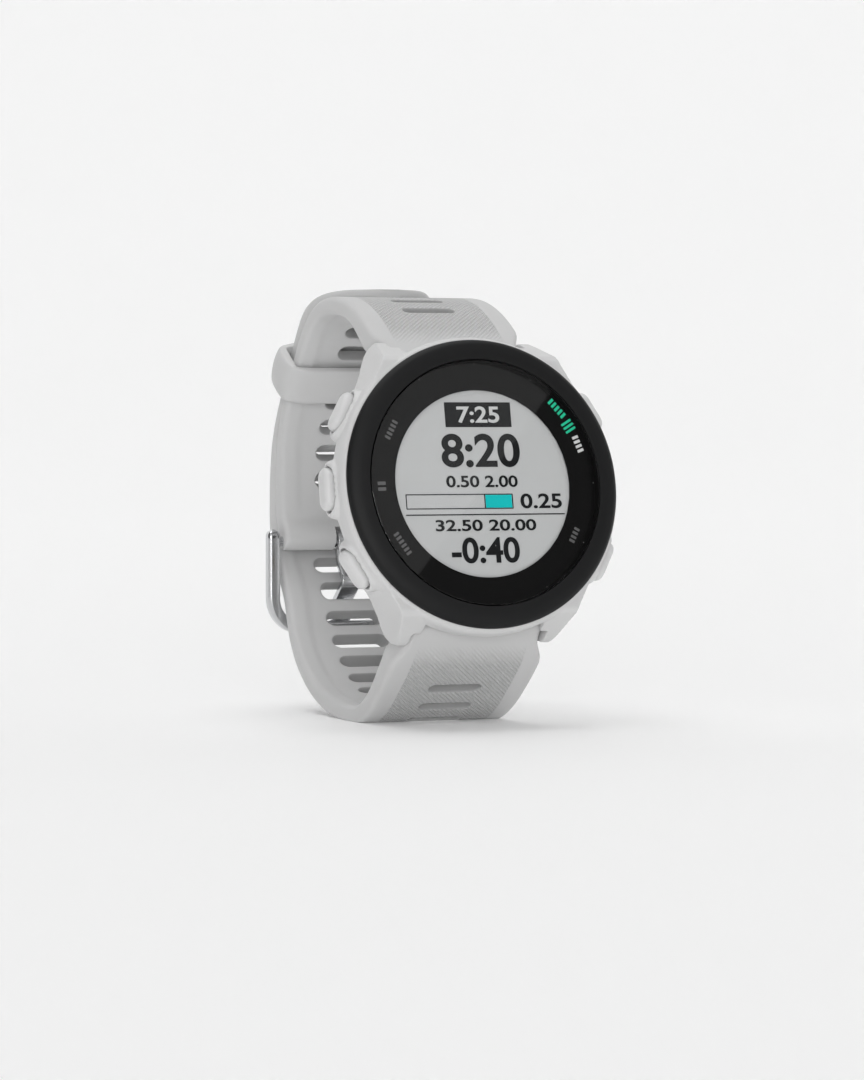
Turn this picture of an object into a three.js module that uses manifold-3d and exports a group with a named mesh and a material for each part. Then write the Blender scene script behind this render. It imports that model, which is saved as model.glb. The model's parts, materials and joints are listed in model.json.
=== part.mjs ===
// A GPS running watch with a buckled 20 mm band, standing on the underside of the band.
// Millimetres, +Z up, the watch face looks towards -Y and leans back.
// Origin: the middle of the flat stretch under the band.
import * as THREE from "three";
import { mergeVertices } from "three/addons/utils/BufferGeometryUtils.js";
import Module from "manifold-3d";

const wasm = await Module();
wasm.setup();

// ---------------------------------------------------------------- driving dimensions
const TILT = THREE.MathUtils.degToRad(11.07); // the face leans back by this much
const FACE_HEIGHT = 34.3; // centre of the lens above the rest surface
const FACE_SETBACK = 25.6; // centre of the lens in front of the origin

// Head: radius and depth, the depth counted from the front of the lens.
const LENS = { radius: 17.3, thickness: 1.2 };
const BEZEL = { inner: 17.45, outer: 20.3, ledge: 16.4, back: 2.1, rim: 1.55 };
const CASE = { radius: 21, front: 1.65, bezelSeat: 18.7, step: 2.2, back: 9.3 };
const CAVITY = { radius: 17.3, front: 3.4, back: 8.1 };
const PLATEAU = 5.2; // the cavity is a full circle down to here, and has two flats below
const CAVITY_FLAT = 15;
const NOTCH = { halfWidth: 10.25, wall: 16.1, front: 6 }; // cut for each band end
const LUG = { inner: 10.25, tip: 21.35, rear: 10.9 };
const SPRING_BAR = { z: 18.3, depth: 8.35, radius: 0.9, bore: 0.6, pin: 0.5, half: 9.7, end: 11.4 };
const LEVER = { x: 7.9, reach: 2.3, lean: THREE.MathUtils.degToRad(-38) }; // lean: from the depth axis
const COVER = { radius: 17.6, front: 9.4, back: 10.4, flat: 15.9, bump: 9.2, bumpBack: 11.3 };
const SCREW = { circle: 15.95, head: 1.15, shank: 0.6, hole: 0.7, angles: [45, 135, 225, 315] };
const WINDOW = { radius: 7.4, back: 11.6 };
const CELL = { radius: 10.5, front: 3.8, back: 6.3, edge: 0.3 };
const BOARD = { radius: 15.5, flat: 14.7, front: 6.45, thickness: 0.8 };

// Buttons: capsule caps on radial stems.
const BUTTON = { depth: 5.2, long: 6, wide: 3, bottom: 20.5, top: 22.8, stem: 1, stemEnd: 16.2 };
const BUTTONS = { light: 150, up: 180, down: 211, start: 30, back: -29 }; // degrees from 3 o'clock
const POCKET = { floor: 19.8, clearance: 0.3, guard: 1.1, guardTop: 21.6 };

// Band
const SLOT = { pitch: 4.45, long: 8.6, wide: 2.35 };
const BAR = { y: 52 - FACE_SETBACK, z: FACE_HEIGHT - 9.5, radius: 0.75, hole: 0.9 }; // in the buckle
const BARREL = 1.9; // radius of the band end around the buckle's bar
const LUG_BARREL = 1.95; // radius of the band ends around the spring bars
const BAR_BORE = 1.08; // radius of the hole in the band for a spring bar
const BAND_HALF = { lug: 9.95, shoulder: 11.5, middle: 10.6, rear: 10 };
const EDGE = 0.7; // chamfer along the band's long edges
const FRAME = { half: 12.4, inner: 10.5, top: 1.8, bottom: 13.8, rail: 2, thick: 1.9, corner: 5.5 };
const LAYERS = 4.9; // thickness of the two band halves where the keeper holds them
const TONGUE = { half: 1.5, thick: 1, hub: 1.55 };
const KEEPER = { y: 50.1, z: 16.8, length: 5.8, half: 12.5, inner: 10.6, gap: 5.6, wall: 1.4, crown: 2 };

const LARGE = 40; // segments round the case
const MEDIUM = 20;
const SMALL = 10;

// ---------------------------------------------------------------- finishes
const finish = (color, roughness, metalness = 0) =>
  new THREE.MeshStandardMaterial({ color, roughness, metalness });
const CASE_GREY = finish(0xd5d7d8, 0.45);
const BAND_GREY = finish(0xc2c4c5, 0.7);
const BLACK = finish(0x1b1c1e, 0.5);
const GLASS = finish(0x101214, 0.08);
const SCREEN = finish(0xbabdbb, 0.6);
const STEEL = finish(0xb9bcc0, 0.25, 1);
const GOLD = finish(0xd9b45a, 0.3, 1);
const RUBBER = finish(0x2a2a2c, 0.8);
const BOARD_GREEN = finish(0x1f4a34, 0.6);
const FOIL = finish(0x8f949a, 0.4, 0.6);

// ---------------------------------------------------------------- solids and transforms
function solidOf(geometry) {
  const bare = geometry.clone();
  bare.deleteAttribute("normal");
  bare.deleteAttribute("uv");
  const merged = mergeVertices(bare, 1e-4);
  const vertProperties = new Float32Array(merged.attributes.position.array);
  const triVerts = new Uint32Array(merged.index.array);
  return new wasm.Manifold(new wasm.Mesh({ numProp: 3, vertProperties, triVerts }));
}

function geometryOf(solid) {
  const mesh = solid.getMesh();
  const geometry = new THREE.BufferGeometry();
  geometry.setAttribute("position", new THREE.BufferAttribute(mesh.vertProperties, 3));
  geometry.setIndex(new THREE.BufferAttribute(mesh.triVerts, 1));
  geometry.computeVertexNormals();
  return geometry;
}

const joined = (...geometries) => geometries.map(solidOf).reduce((all, next) => all.add(next));

function cut(geometry, ...tools) {
  return geometryOf(tools.reduce((rest, tool) => rest.subtract(solidOf(tool)), solidOf(geometry)));
}

const within = (geometry, limit) => geometryOf(solidOf(geometry).intersect(solidOf(limit)));

function part(name, geometry, material) {
  const mesh = new THREE.Mesh(geometry, material);
  mesh.name = name;
  return mesh;
}

const points = (pairs) => pairs.map(([x, y]) => new THREE.Vector2(x, y));

// A turned piece round the depth axis (local Y). The profile is [radius, depth] pairs.
function turned(pairs, segments) {
  const profile = points(pairs);
  const closed = pairs[0][0] === 0 ? profile : [...profile, profile[0]];
  if (THREE.ShapeUtils.isClockWise(profile)) closed.reverse();
  return new THREE.LatheGeometry(closed, segments);
}

const disc = (radius, front, back, segments) =>
  turned([[0, front], [radius, front], [radius, back], [0, back]], segments);

const ring = (inner, outer, front, back, segments) =>
  turned([[inner, front], [outer, front], [outer, back], [inner, back]], segments);

// A flat piece: its outline is in head X and Z, its thickness runs from front to back depth.
function slab(shape, front, back) {
  const options = { depth: back - front, bevelEnabled: false, curveSegments: 5 };
  return new THREE.ExtrudeGeometry(shape, options).rotateX(Math.PI / 2).translate(0, back, 0);
}

// A box given by its lowest and highest corners.
function block(low, high) {
  const size = high.map((value, i) => value - low[i]);
  const middle = high.map((value, i) => (value + low[i]) / 2);
  return new THREE.BoxGeometry(...size).translate(...middle);
}

const rodX = (radius, from, to, y, z, segments) =>
  new THREE.CylinderGeometry(radius, radius, to - from, segments)
    .rotateZ(Math.PI / 2)
    .translate((from + to) / 2, y, z);

// A stadium, long in X and wide in Y.
function stadium(long, wide) {
  const reach = (long - wide) / 2;
  const shape = new THREE.Shape();
  shape.absarc(reach, 0, wide / 2, -Math.PI / 2, Math.PI / 2, false);
  shape.absarc(-reach, 0, wide / 2, Math.PI / 2, Math.PI * 1.5, false);
  return shape;
}

// A profile in the row's Y and Z, given as pairs, extruded along X from one plane to another.
function sideProfile(pairs, from, to) {
  const options = { depth: to - from, bevelEnabled: false };
  const flat = new THREE.ExtrudeGeometry(new THREE.Shape(points(pairs)), options);
  const axes = new THREE.Matrix4().set(0, 0, 1, from, 1, 0, 0, 0, 0, 1, 0, 0, 0, 0, 0, 1);
  return flat.applyMatrix4(axes);
}

// ---------------------------------------------------------------- head: the front
function lensGlass() {
  const { radius, thickness } = LENS;
  const edge = 0.3;
  return turned([[0, 0], [radius - edge, 0], [radius, edge], [radius, thickness], [0, thickness]], LARGE);
}

function bezelRing() {
  const { inner, outer, ledge, back, rim } = BEZEL;
  const ledgeFront = LENS.thickness + 0.3;
  const dome = [[inner, 0.05], [18.5, 0.15], [19.6, 0.55], [outer, 1.2]];
  const foot = [[outer, rim], [18.6, rim], [18.6, back], [ledge, back], [ledge, ledgeFront]];
  return turned([...dome, ...foot, [inner, ledgeFront]], LARGE);
}

const lensGasket = () => ring(16.55, 17.2, LENS.thickness + 0.06, LENS.thickness + 0.24, LARGE);
const dialMask = () => ring(13.2, 16.2, LENS.thickness + 0.06, LENS.thickness + 0.21, LARGE);
const displayModule = () => disc(15.6, 1.55, 3, LARGE);

function innerFrame() {
  const plate = disc(15.9, 3.1, 3.6, LARGE);
  return cut(plate, block([-7, 2, -2], [7, 5, 2]), disc(1.6, 2, 5, SMALL).translate(0, 0, 8));
}

// ---------------------------------------------------------------- head: the case
// A piece of a button's frame (local Z points outwards) turned to its place on the head.
const atButton = (geometry, degrees) =>
  geometry
    .rotateY(Math.PI / 2 - THREE.MathUtils.degToRad(degrees))
    .translate(0, BUTTON.depth, 0);

function buttonCutters(degrees) {
  const shape = stadium(BUTTON.long + 2 * POCKET.clearance, BUTTON.wide + 2 * POCKET.clearance);
  const pocket = new THREE.ExtrudeGeometry(shape, { depth: 6, bevelEnabled: false, curveSegments: 4 });
  const bore = new THREE.CylinderGeometry(1.15, 1.15, 8, SMALL).rotateX(Math.PI / 2);
  const sealSeat = new THREE.CylinderGeometry(1.75, 1.75, 3.2, SMALL).rotateX(Math.PI / 2);
  return [
    atButton(pocket.translate(0, 0, POCKET.floor), degrees),
    atButton(bore.translate(0, 0, 18.5), degrees),
    atButton(sealSeat.translate(0, 0, 17), degrees),
  ];
}

// The swelling of the case round a button.
function buttonGuard(degrees) {
  const { guard, guardTop } = POCKET;
  const shape = stadium(BUTTON.long + 2 * guard, BUTTON.wide + 1.4);
  const soft = { bevelThickness: 0.6, bevelSize: 0.5, bevelOffset: -0.5, bevelSegments: 1 };
  const options = { ...soft, depth: 2, curveSegments: 4 };
  return atButton(new THREE.ExtrudeGeometry(shape, options).translate(0, 0, guardTop - 2.6), degrees);
}

// One lug: where its outline from the front meets its outline from the side.
function lugBlank(sideX, sideZ) {
  const { inner, tip, rear } = LUG;
  const front = [[inner, 12], [16.6, 12], [15.1, 14.5], [13.7, 17], [12.2, 20.4], [11.6, tip],
    [inner, tip]];
  const frontShape = new THREE.Shape(points(front.map(([x, z]) => [x * sideX, z * sideZ])));
  const side = [[12, 1.8], [17.5, 1.9], [18.2, 2.3], [21.1, 7.6], [tip, 8.7], [20.9, 10.1], [19.8, rear],
    [12, rear]];
  const sideShape = side.map(([z, depth]) => [depth, z * sideZ]);
  const far = Math.min(inner * sideX, 18 * sideX);
  const near = Math.max(inner * sideX, 18 * sideX);
  return within(slab(frontShape, 0, 14), sideProfile(sideShape, far, near));
}

function midCase() {
  const { radius, front, bezelSeat, step, back } = CASE;
  const outside = [[0, step], [bezelSeat, step], [bezelSeat, front], [20.45, front], [20.85, step],
    [radius, 3], [radius, 4.5], [20.8, 5.4], [20.3, 6.5], [19.5, 7.7], [18.6, 8.7], [17.85, back],
    [0, back]];
  const signs = [[1, 1], [-1, 1], [1, -1], [-1, -1]];
  const lugs = signs.map(([sideX, sideZ]) => lugBlank(sideX, sideZ));
  const { halfWidth, wall } = NOTCH;
  const notches = [0, Math.PI].map((turn) =>
    block([-halfWidth, NOTCH.front, wall], [halfWidth, 14, 24]).rotateY(turn));
  const betweenFlats = block([-20, 0, -CAVITY_FLAT], [20, 12, CAVITY_FLAT]);
  const cavityTools = [
    disc(bezelSeat, 1, step, LARGE),
    disc(16.3, 1, 4, LARGE),
    disc(CAVITY.radius, CAVITY.front, PLATEAU, LARGE),
    within(disc(CAVITY.radius, CAVITY.front, CAVITY.back, LARGE), betweenFlats),
    disc(14.2, 6, 12, LARGE),
  ];
  const barHoles = [1, -1].map((side) =>
    rodX(0.65, -11.7, 11.7, SPRING_BAR.depth, side * SPRING_BAR.z, SMALL));
  const coverSeat = disc(17.75, back, 14, LARGE);
  const screwHoles = SCREW.angles.map((angle) => atScrew(disc(SCREW.hole, 8.4, 12, SMALL), angle));
  const buttonTools = Object.values(BUTTONS).flatMap(buttonCutters);
  const guards = Object.values(BUTTONS).map(buttonGuard);
  const blank = geometryOf(joined(turned(outside, LARGE), ...lugs, ...guards));
  const holes = [...barHoles, coverSeat, ...screwHoles, ...buttonTools];
  return cut(blank, ...notches, ...cavityTools, ...holes);
}

// ---------------------------------------------------------------- head: buttons
function buttonCap() {
  const { long, wide, bottom, top, stem, stemEnd } = BUTTON;
  const round = 0.45;
  const options = {
    depth: top - bottom - 2 * round,
    bevelThickness: round,
    bevelSize: round,
    bevelOffset: -round,
    bevelSegments: 1,
    curveSegments: 4,
  };
  const cap = new THREE.ExtrudeGeometry(stadium(long, wide), options).translate(0, 0, bottom + round);
  const groove = 0.65;
  const profile = [[0, stemEnd], [groove, stemEnd], [stem, stemEnd + 0.2], [stem, 16.5], [groove, 16.5],
    [groove, 17.1], [stem, 17.1], [stem, bottom + 0.5], [0, bottom + 0.5]];
  const shaft = turned(profile, SMALL).rotateX(Math.PI / 2);
  return geometryOf(joined(cap, shaft));
}

function stemSeal() {
  const middle = 1.4;
  const half = 0.27;
  const profile = [...Array(6).keys()].map((i) => {
    const angle = (i * Math.PI) / 3;
    return [middle + half * Math.cos(angle), 18.1 + half * Math.sin(angle)];
  });
  return turned(profile, SMALL).rotateX(Math.PI / 2);
}

function stemClip() {
  const opening = 0.6;
  const shape = new THREE.Shape();
  shape.absarc(0, 0, 1.7, opening, 2 * Math.PI - opening, false);
  shape.absarc(0, 0, 0.8, 2 * Math.PI - opening, opening, true);
  const options = { depth: 0.36, bevelEnabled: false, curveSegments: 6 };
  return new THREE.ExtrudeGeometry(shape, options).translate(0, 0, 16.62);
}

const sideSwitch = () => block([-1.7, -0.9, 13.2], [1.7, 0.95, 15.6]);

function buttonGroup(name, degrees) {
  const group = new THREE.Group();
  group.position.y = BUTTON.depth;
  group.rotation.y = Math.PI / 2 - THREE.MathUtils.degToRad(degrees);
  group.add(
    part(`button_${name}`, buttonCap(), CASE_GREY),
    part(`stem_seal_${name}`, stemSeal(), RUBBER),
    part(`stem_clip_${name}`, stemClip(), STEEL),
    part(`side_switch_${name}`, sideSwitch(), FOIL),
  );
  return group;
}

// ---------------------------------------------------------------- head: electronics
function mainBoard() {
  const { radius, flat, front, thickness } = BOARD;
  const round = disc(radius, front, front + thickness, LARGE);
  return within(round, block([-20, 0, -flat], [20, 12, flat]));
}

function gpsAntenna() {
  const shape = new THREE.Shape();
  const half = 0.62;
  shape.absarc(0, 0, 15.4, Math.PI / 2 - half, Math.PI / 2 + half, false);
  shape.absarc(0, 0, 13.9, Math.PI / 2 + half, Math.PI / 2 - half, true);
  return slab(shape, 3.75, 4.3);
}

function battery() {
  const { radius, front, back, edge } = CELL;
  return turned([[0, front], [radius - edge, front], [radius, front + edge], [radius, back - edge],
    [radius - edge, back], [0, back]], MEDIUM);
}


const shieldCan = () => block([-7, BOARD.front + BOARD.thickness + 0.05, -5.5], [7, 8.7, 6.5]);
const vibrationMotor = () => rodX(1.15, -4.2, 4.2, 5.1, -12.6, SMALL);
const buzzer = () => block([-4.5, 4.7, 11.3], [4.5, 6.35, 13.9]);

// ---------------------------------------------------------------- head: the back
const atScrew = (geometry, angle) =>
  geometry
    .translate(SCREW.circle, 0, 0)
    .rotateY(THREE.MathUtils.degToRad(-angle));

function backCover() {
  const { radius, front, back, flat, bump, bumpBack } = COVER;
  const grooveBack = 9.8;
  const opening = WINDOW.radius + 0.1;
  const profile = [[opening, front], [14.3, front], [14.3, grooveBack], [14.9, grooveBack], [14.9, front],
    [radius, front], [radius, 10.15], [17.35, back], [bump + 1.2, back], [bump, bumpBack - 0.3],
    [bump - 0.5, bumpBack], [opening, bumpBack]];
  const trimmed = within(turned(profile, LARGE), block([-20, 0, -flat], [20, 14, flat]));
  const seats = SCREW.angles.map((angle) => atScrew(disc(SCREW.head + 0.05, 9.9, 12, SMALL), angle));
  const holes = SCREW.angles.map((angle) => atScrew(disc(SCREW.hole, 9, 12, SMALL), angle));
  const portPocket = slab(stadium(8.4, 3.2), 9.86, 12).translate(0, 0, -12.05);
  return cut(trimmed, ...seats, ...holes, portPocket);
}

const backGasket = () => ring(14.38, 14.82, COVER.front + 0.03, 9.75, LARGE);

function coverScrew() {
  const { head, shank } = SCREW;
  const under = 9.95;
  const solid = turned([[0, 8.5], [shank, 8.5], [shank, under], [head, under], [head, 10.3],
    [head - 0.1, 10.38], [0, 10.38]], SMALL);
  return cut(solid, new THREE.CylinderGeometry(0.55, 0.55, 0.6, 6).translate(0, 10.4, 0));
}

function chargePort() {
  const insert = new THREE.Group();
  const pitch = 1.7;
  const places = [-1.5, -0.5, 0.5, 1.5].map((step) => step * pitch);
  const holes = places.map((x) => disc(0.55, 9, 12, SMALL).translate(x, 0, 0));
  insert.add(part("charge_port_insert", cut(slab(stadium(8.2, 3), 9.9, 10.34), ...holes), BLACK));
  places.forEach((x, i) =>
    insert.add(part(`charge_pin_${i + 1}`, disc(0.45, 9.9, 10.4, SMALL).translate(x, 0, 0), GOLD)));
  insert.position.z = -12.05;
  return insert;
}

const sensorBoard = () => disc(7, 9.3, 9.9, MEDIUM);

function sensorWindow() {
  const { radius, back } = WINDOW;
  const front = 10;
  return turned([[0, front], [radius, front], [radius, back - 0.45], [radius - 0.35, back - 0.1],
    [radius - 0.8, back], [0, back]], MEDIUM);
}

// ---------------------------------------------------------------- spring bars
function springBar() {
  const { radius, bore, pin, half } = SPRING_BAR;
  const tube = joined(rodX(radius, -half, half, 0, 0, SMALL), rodX(pin, -SPRING_BAR.end, 0, 0, 0, SMALL));
  const slotWidth = 0.45;
  return cut(
    geometryOf(tube),
    rodX(bore, 5.6, half + 1, 0, 0, SMALL),
    block([6.2, 0, -slotWidth], [8.5, 2, slotWidth]),
  );
}

// The sliding end of a spring bar, with the little lever that a fingernail pulls.
function releasePin() {
  const { pin, end } = SPRING_BAR;
  const { x, reach } = LEVER;
  const lever = new THREE.CylinderGeometry(0.32, 0.32, reach, SMALL).translate(x, reach / 2, 0);
  const knob = new THREE.CylinderGeometry(0.6, 0.6, 0.6, SMALL).translate(x, reach, 0);
  return geometryOf(joined(rodX(pin, 7.2, end, 0, 0, SMALL), lever, knob));
}

// Depth runs straight back from the case, so the lever points inwards to the wrist.
function springBarGroup(name, side) {
  const group = new THREE.Group();
  group.position.set(0, SPRING_BAR.depth, side * SPRING_BAR.z);
  group.rotation.x = side * LEVER.lean;
  group.add(
    part(`spring_bar_${name}`, springBar(), STEEL),
    part(`release_pin_${name}`, releasePin(), STEEL),
  );
  return group;
}

// ---------------------------------------------------------------- band
// A rail follows the outer face of a band half in the plane X = 0, from its spring bar to its end.
// side is 1 when the wrist lies to the left of the way along the rail, and -1 when to the right.
function bandRail(pairs, side) {
  const knots = pairs.map(([y, z]) => new THREE.Vector3(0, y - FACE_SETBACK, z + FACE_HEIGHT));
  const curve = new THREE.CatmullRomCurve3(knots, false, "centripetal");
  curve.arcLengthDivisions = 1000;
  const length = curve.getLength();
  const at = (s) => {
    const u = THREE.MathUtils.clamp(s / length, 0, 1);
    const along = curve.getTangentAt(u);
    return {
      place: curve.getPointAt(u),
      along,
      inward: new THREE.Vector3(0, -side * along.z, side * along.y),
    };
  };
  return { length, at };
}

// The outer faces as Y and Z from the centre of the lens.
const LONG_RAIL = bandRail([[3.2, -20.85], [6.6, -25.3], [11.6, -29.7], [15.6, -32.6], [19.6, -34.35],
  [24, -34.75], [28.8, -34.4], [33.4, -33.8], [37.9, -32.4], [41.9, -30.3], [45.8, -27.2], [49.2, -23.2],
  [52, -18], [54.6, -14.4], [56.7, -11], [57.6, -7.4], [57.7, -3.3], [57.5, 0.3], [56.8, 4.5], [55.3, 8.4],
  [51.6, 14.3], [47.7, 20.1], [44.8, 23.7], [41.4, 26.3], [38, 27.3], [35.2, 27.5]], 1);
const SHORT_RAIL = bandRail([[10.2, 17.6], [12.9, 19.7], [16.2, 22], [20.2, 24.1], [24.7, 25.6], [30, 26.2],
  [35.5, 25.7], [39.2, 24.4], [42.6, 21.9], [45.8, 18.3], [49.6, 12.9], [53, 7.2], [54.4, 3.7], [55.1, 0],
  [55.2, -3.3], [54.7, -6.9], [53.9, -9.5]], -1);

const ease = THREE.MathUtils.smoothstep;
const blend = THREE.MathUtils.lerp;

function longThickness(s) {
  const fromLug = blend(3.9, 2.8, ease(s, 2, 16));
  const middle = blend(fromLug, 2.35, ease(s, 30, 75));
  return blend(middle, 1.15, ease(s, LONG_RAIL.length - 14, LONG_RAIL.length));
}

function shortThickness(s) {
  const end = SHORT_RAIL.length;
  const fromLug = blend(3.9, 2.6, ease(s, 2, 16));
  return blend(blend(fromLug, 2.3, ease(s, 20, 32)), 2.9, ease(s, end - 18, end - 8));
}

function bandHalfWidth(s) {
  const shoulder = blend(BAND_HALF.lug, BAND_HALF.shoulder, ease(s, 4, 6));
  const middle = blend(shoulder, BAND_HALF.middle, ease(s, 8, 40));
  return blend(middle, BAND_HALF.rear, ease(s, 48, 62));
}

// The tail's outline from above is half an ellipse over its last stretch.
function tailHalfWidth(s) {
  const taper = 10;
  const past = Math.max(0, s - (LONG_RAIL.length - taper)) / (taper + 0.25);
  return bandHalfWidth(s) * Math.sqrt(1 - past * past);
}

// The section at one place along the rail: a flat bar with chamfered edges, outer face first.
function bandSection(rail, s, half, thickness) {
  const { place, inward } = rail.at(s);
  const edge = Math.min(EDGE, half / 2);
  const chamfer = Math.min(EDGE, thickness * 0.36);
  const outerCorners = [[half - edge, 0], [half, chamfer]];
  const innerCorners = [[half, thickness - chamfer], [half - edge, thickness]];
  const corners = [...outerCorners, ...innerCorners];
  const mirrored = corners.map(([x, depth]) => [-x, depth]).reverse();
  return [...corners, ...mirrored].map(([x, depth]) => {
    const point = place.clone().addScaledVector(inward, depth);
    return new THREE.Vector3(x, point.y, Math.max(point.z, 0));
  });
}

// A closed solid through rings of corners, all convex and all of one length.
function loft(rings, flip) {
  const count = rings[0].length;
  const last = (rings.length - 1) * count;
  const index = [];
  const face = (a, b, c) => index.push(...(flip ? [a, c, b] : [a, b, c]));
  for (let row = 0; row < last; row += count) {
    for (let k = 0; k < count; k++) {
      const next = (k + 1) % count;
      face(row + k, row + next, row + next + count);
      face(row + k, row + next + count, row + k + count);
    }
  }
  for (let k = 1; k + 1 < count; k++) {
    face(0, k + 1, k);
    face(last, last + k, last + k + 1);
  }
  const geometry = new THREE.BufferGeometry().setFromPoints(rings.flat());
  geometry.setIndex(index);
  return geometry;
}

function bandBlank(rail, steps, halfWidth, thickness, flip) {
  const rings = [...Array(steps + 1).keys()].map((i) => {
    const s = (i / steps) * rail.length;
    return bandSection(rail, s, halfWidth(s), thickness(s));
  });
  return loft(rings, flip);
}

// The place along a rail nearest to a point given as Y and Z from the centre of the lens.
function nearestPlace(rail, y, z) {
  const target = new THREE.Vector3(0, y - FACE_SETBACK, z + FACE_HEIGHT);
  const steps = 600;
  const places = [...Array(steps + 1).keys()].map((i) => (i / steps) * rail.length);
  const distance = (s) => rail.at(s).place.distanceTo(target);
  return places.reduce((best, s) => (distance(s) < distance(best) ? s : best));
}

// A cutter for one slot, standing across the band at its place.
function slotCutter(rail, s) {
  const { place, along, inward } = rail.at(s);
  const options = { depth: 8, bevelEnabled: false, curveSegments: 3 };
  const prism = new THREE.ExtrudeGeometry(stadium(SLOT.long, SLOT.wide), options).translate(0, 0, -2);
  const across = along.clone().cross(inward);
  return prism.applyMatrix4(new THREE.Matrix4().makeBasis(across, along, inward).setPosition(place));
}

function slotRow(rail, anchor, from, to) {
  const first = Math.ceil((from - anchor) / SLOT.pitch);
  const last = Math.floor((to - anchor) / SLOT.pitch);
  const places = [...Array(last - first + 1).keys()].map((i) => anchor + (first + i) * SLOT.pitch);
  return places.map((s) => slotCutter(rail, s));
}

// The centre of a spring bar in the row's Y and Z.
function barCentre(side) {
  const { z, depth } = SPRING_BAR;
  const y = side * z * Math.sin(TILT) + depth * Math.cos(TILT) - FACE_SETBACK;
  return [y, side * z * Math.cos(TILT) - depth * Math.sin(TILT) + FACE_HEIGHT];
}

// The pocket in a band end that leaves room for the release lever and its travel.
function leverPocket(side) {
  const group = new THREE.Object3D();
  const [y, z] = barCentre(side);
  group.position.set(0, y, z);
  group.rotation.x = side * LEVER.lean - TILT;
  group.updateMatrix();
  return block([5.6, 0, -0.95], [8.9, 6, 0.95]).applyMatrix4(group.matrix);
}

const TONGUE_PLACE = nearestPlace(LONG_RAIL, 51.9, -17.75);

function longBand() {
  const [y, z] = barCentre(-1);
  const blank = bandBlank(LONG_RAIL, 60, tailHalfWidth, longThickness, true);
  const barrel = rodX(LUG_BARREL, -BAND_HALF.lug, BAND_HALF.lug, y, z, MEDIUM);
  const slots = slotRow(LONG_RAIL, TONGUE_PLACE, 11, LONG_RAIL.length - 12);
  const bore = rodX(BAR_BORE, -12, 12, y, z, SMALL);
  return cut(geometryOf(joined(blank, barrel)), bore, leverPocket(-1), ...slots);
}

function shortBand() {
  const [y, z] = barCentre(1);
  const blank = bandBlank(SHORT_RAIL, 32, bandHalfWidth, shortThickness, false);
  const barrels = [
    rodX(LUG_BARREL, -BAND_HALF.lug, BAND_HALF.lug, y, z, MEDIUM),
    rodX(BARREL, -BAND_HALF.rear, BAND_HALF.rear, BAR.y, BAR.z, MEDIUM),
  ];
  const notch = block([-2, BAR.y - 3, BAR.z - 3], [2, BAR.y + 3, BAR.z + 2.1]);
  const slots = slotRow(SHORT_RAIL, nearestPlace(SHORT_RAIL, 19.8, 25.2), 10, SHORT_RAIL.length - 8);
  const bores = [rodX(BAR_BORE, -12, 12, y, z, SMALL), rodX(BAR.hole, -12, 12, BAR.y, BAR.z, SMALL)];
  return cut(geometryOf(joined(blank, ...barrels)), ...bores, leverPocket(1), notch, ...slots);
}

// ---------------------------------------------------------------- keeper
// A loop round both layers of the band: flat inside the wrist, rounded outside.
function keeperLoop() {
  const { length, half, inner, gap, wall, crown } = KEEPER;
  const outer = new THREE.Shape();
  const low = -gap / 2 - wall;
  const high = gap / 2 + crown;
  const soft = 1.2;
  const bulge = 3.4;
  outer.moveTo(-half + soft, low);
  outer.lineTo(half - soft, low);
  outer.quadraticCurveTo(half, low, half, low + soft);
  outer.lineTo(half, high - bulge);
  outer.quadraticCurveTo(half, high, half - bulge, high);
  outer.lineTo(-half + bulge, high);
  outer.quadraticCurveTo(-half, high, -half, high - bulge);
  outer.lineTo(-half, low + soft);
  outer.quadraticCurveTo(-half, low, -half + soft, low);
  const options = {
    depth: length - 0.8,
    bevelThickness: 0.4,
    bevelSize: 0.4,
    bevelOffset: -0.4,
    bevelSegments: 1,
    curveSegments: 5,
  };
  const blank = new THREE.ExtrudeGeometry(outer, options).translate(0, 0, 0.4 - length / 2);
  return cut(blank, block([-inner, -gap / 2, -length], [inner, gap / 2, length]));
}

function keeper() {
  const mesh = part("keeper", keeperLoop(), BAND_GREY);
  const { place, along, inward } = LONG_RAIL.at(nearestPlace(LONG_RAIL, KEEPER.y, KEEPER.z));
  mesh.position.copy(place).addScaledVector(inward, LAYERS / 2);
  mesh.rotation.x = Math.atan2(-along.y, along.z);
  return mesh;
}

// ---------------------------------------------------------------- buckle
// Seen from behind: a U whose arms hold the bar and whose bottom rail carries the tongue's tip.
function buckleFrame() {
  const { half, inner, top, bottom, rail, thick, corner } = FRAME;
  const shape = new THREE.Shape();
  shape.moveTo(half, top);
  shape.lineTo(half, corner - bottom);
  shape.absarc(half - corner, corner - bottom, corner, 0, -Math.PI / 2, true);
  shape.absarc(corner - half, corner - bottom, corner, -Math.PI / 2, -Math.PI, true);
  shape.lineTo(-half, top);
  shape.lineTo(-inner, top);
  const innerCorner = corner - rail;
  const floor = rail - bottom;
  shape.lineTo(-inner, floor + innerCorner);
  shape.absarc(innerCorner - inner, floor + innerCorner, innerCorner, Math.PI, 1.5 * Math.PI, false);
  shape.absarc(inner - innerCorner, floor + innerCorner, innerCorner, 1.5 * Math.PI, 2 * Math.PI, false);
  shape.lineTo(inner, top);
  const options = {
    depth: thick - 0.7,
    bevelThickness: 0.35,
    bevelSize: 0.35,
    bevelOffset: -0.35,
    bevelSegments: 1,
    curveSegments: 5,
  };
  const plate = new THREE.ExtrudeGeometry(shape, options)
    .translate(0, 0, 0.35 - thick / 2)
    .rotateX(Math.PI / 2);
  return cut(plate, rodX(BAR.hole, -14, 14, 0, 0, SMALL));
}

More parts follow.
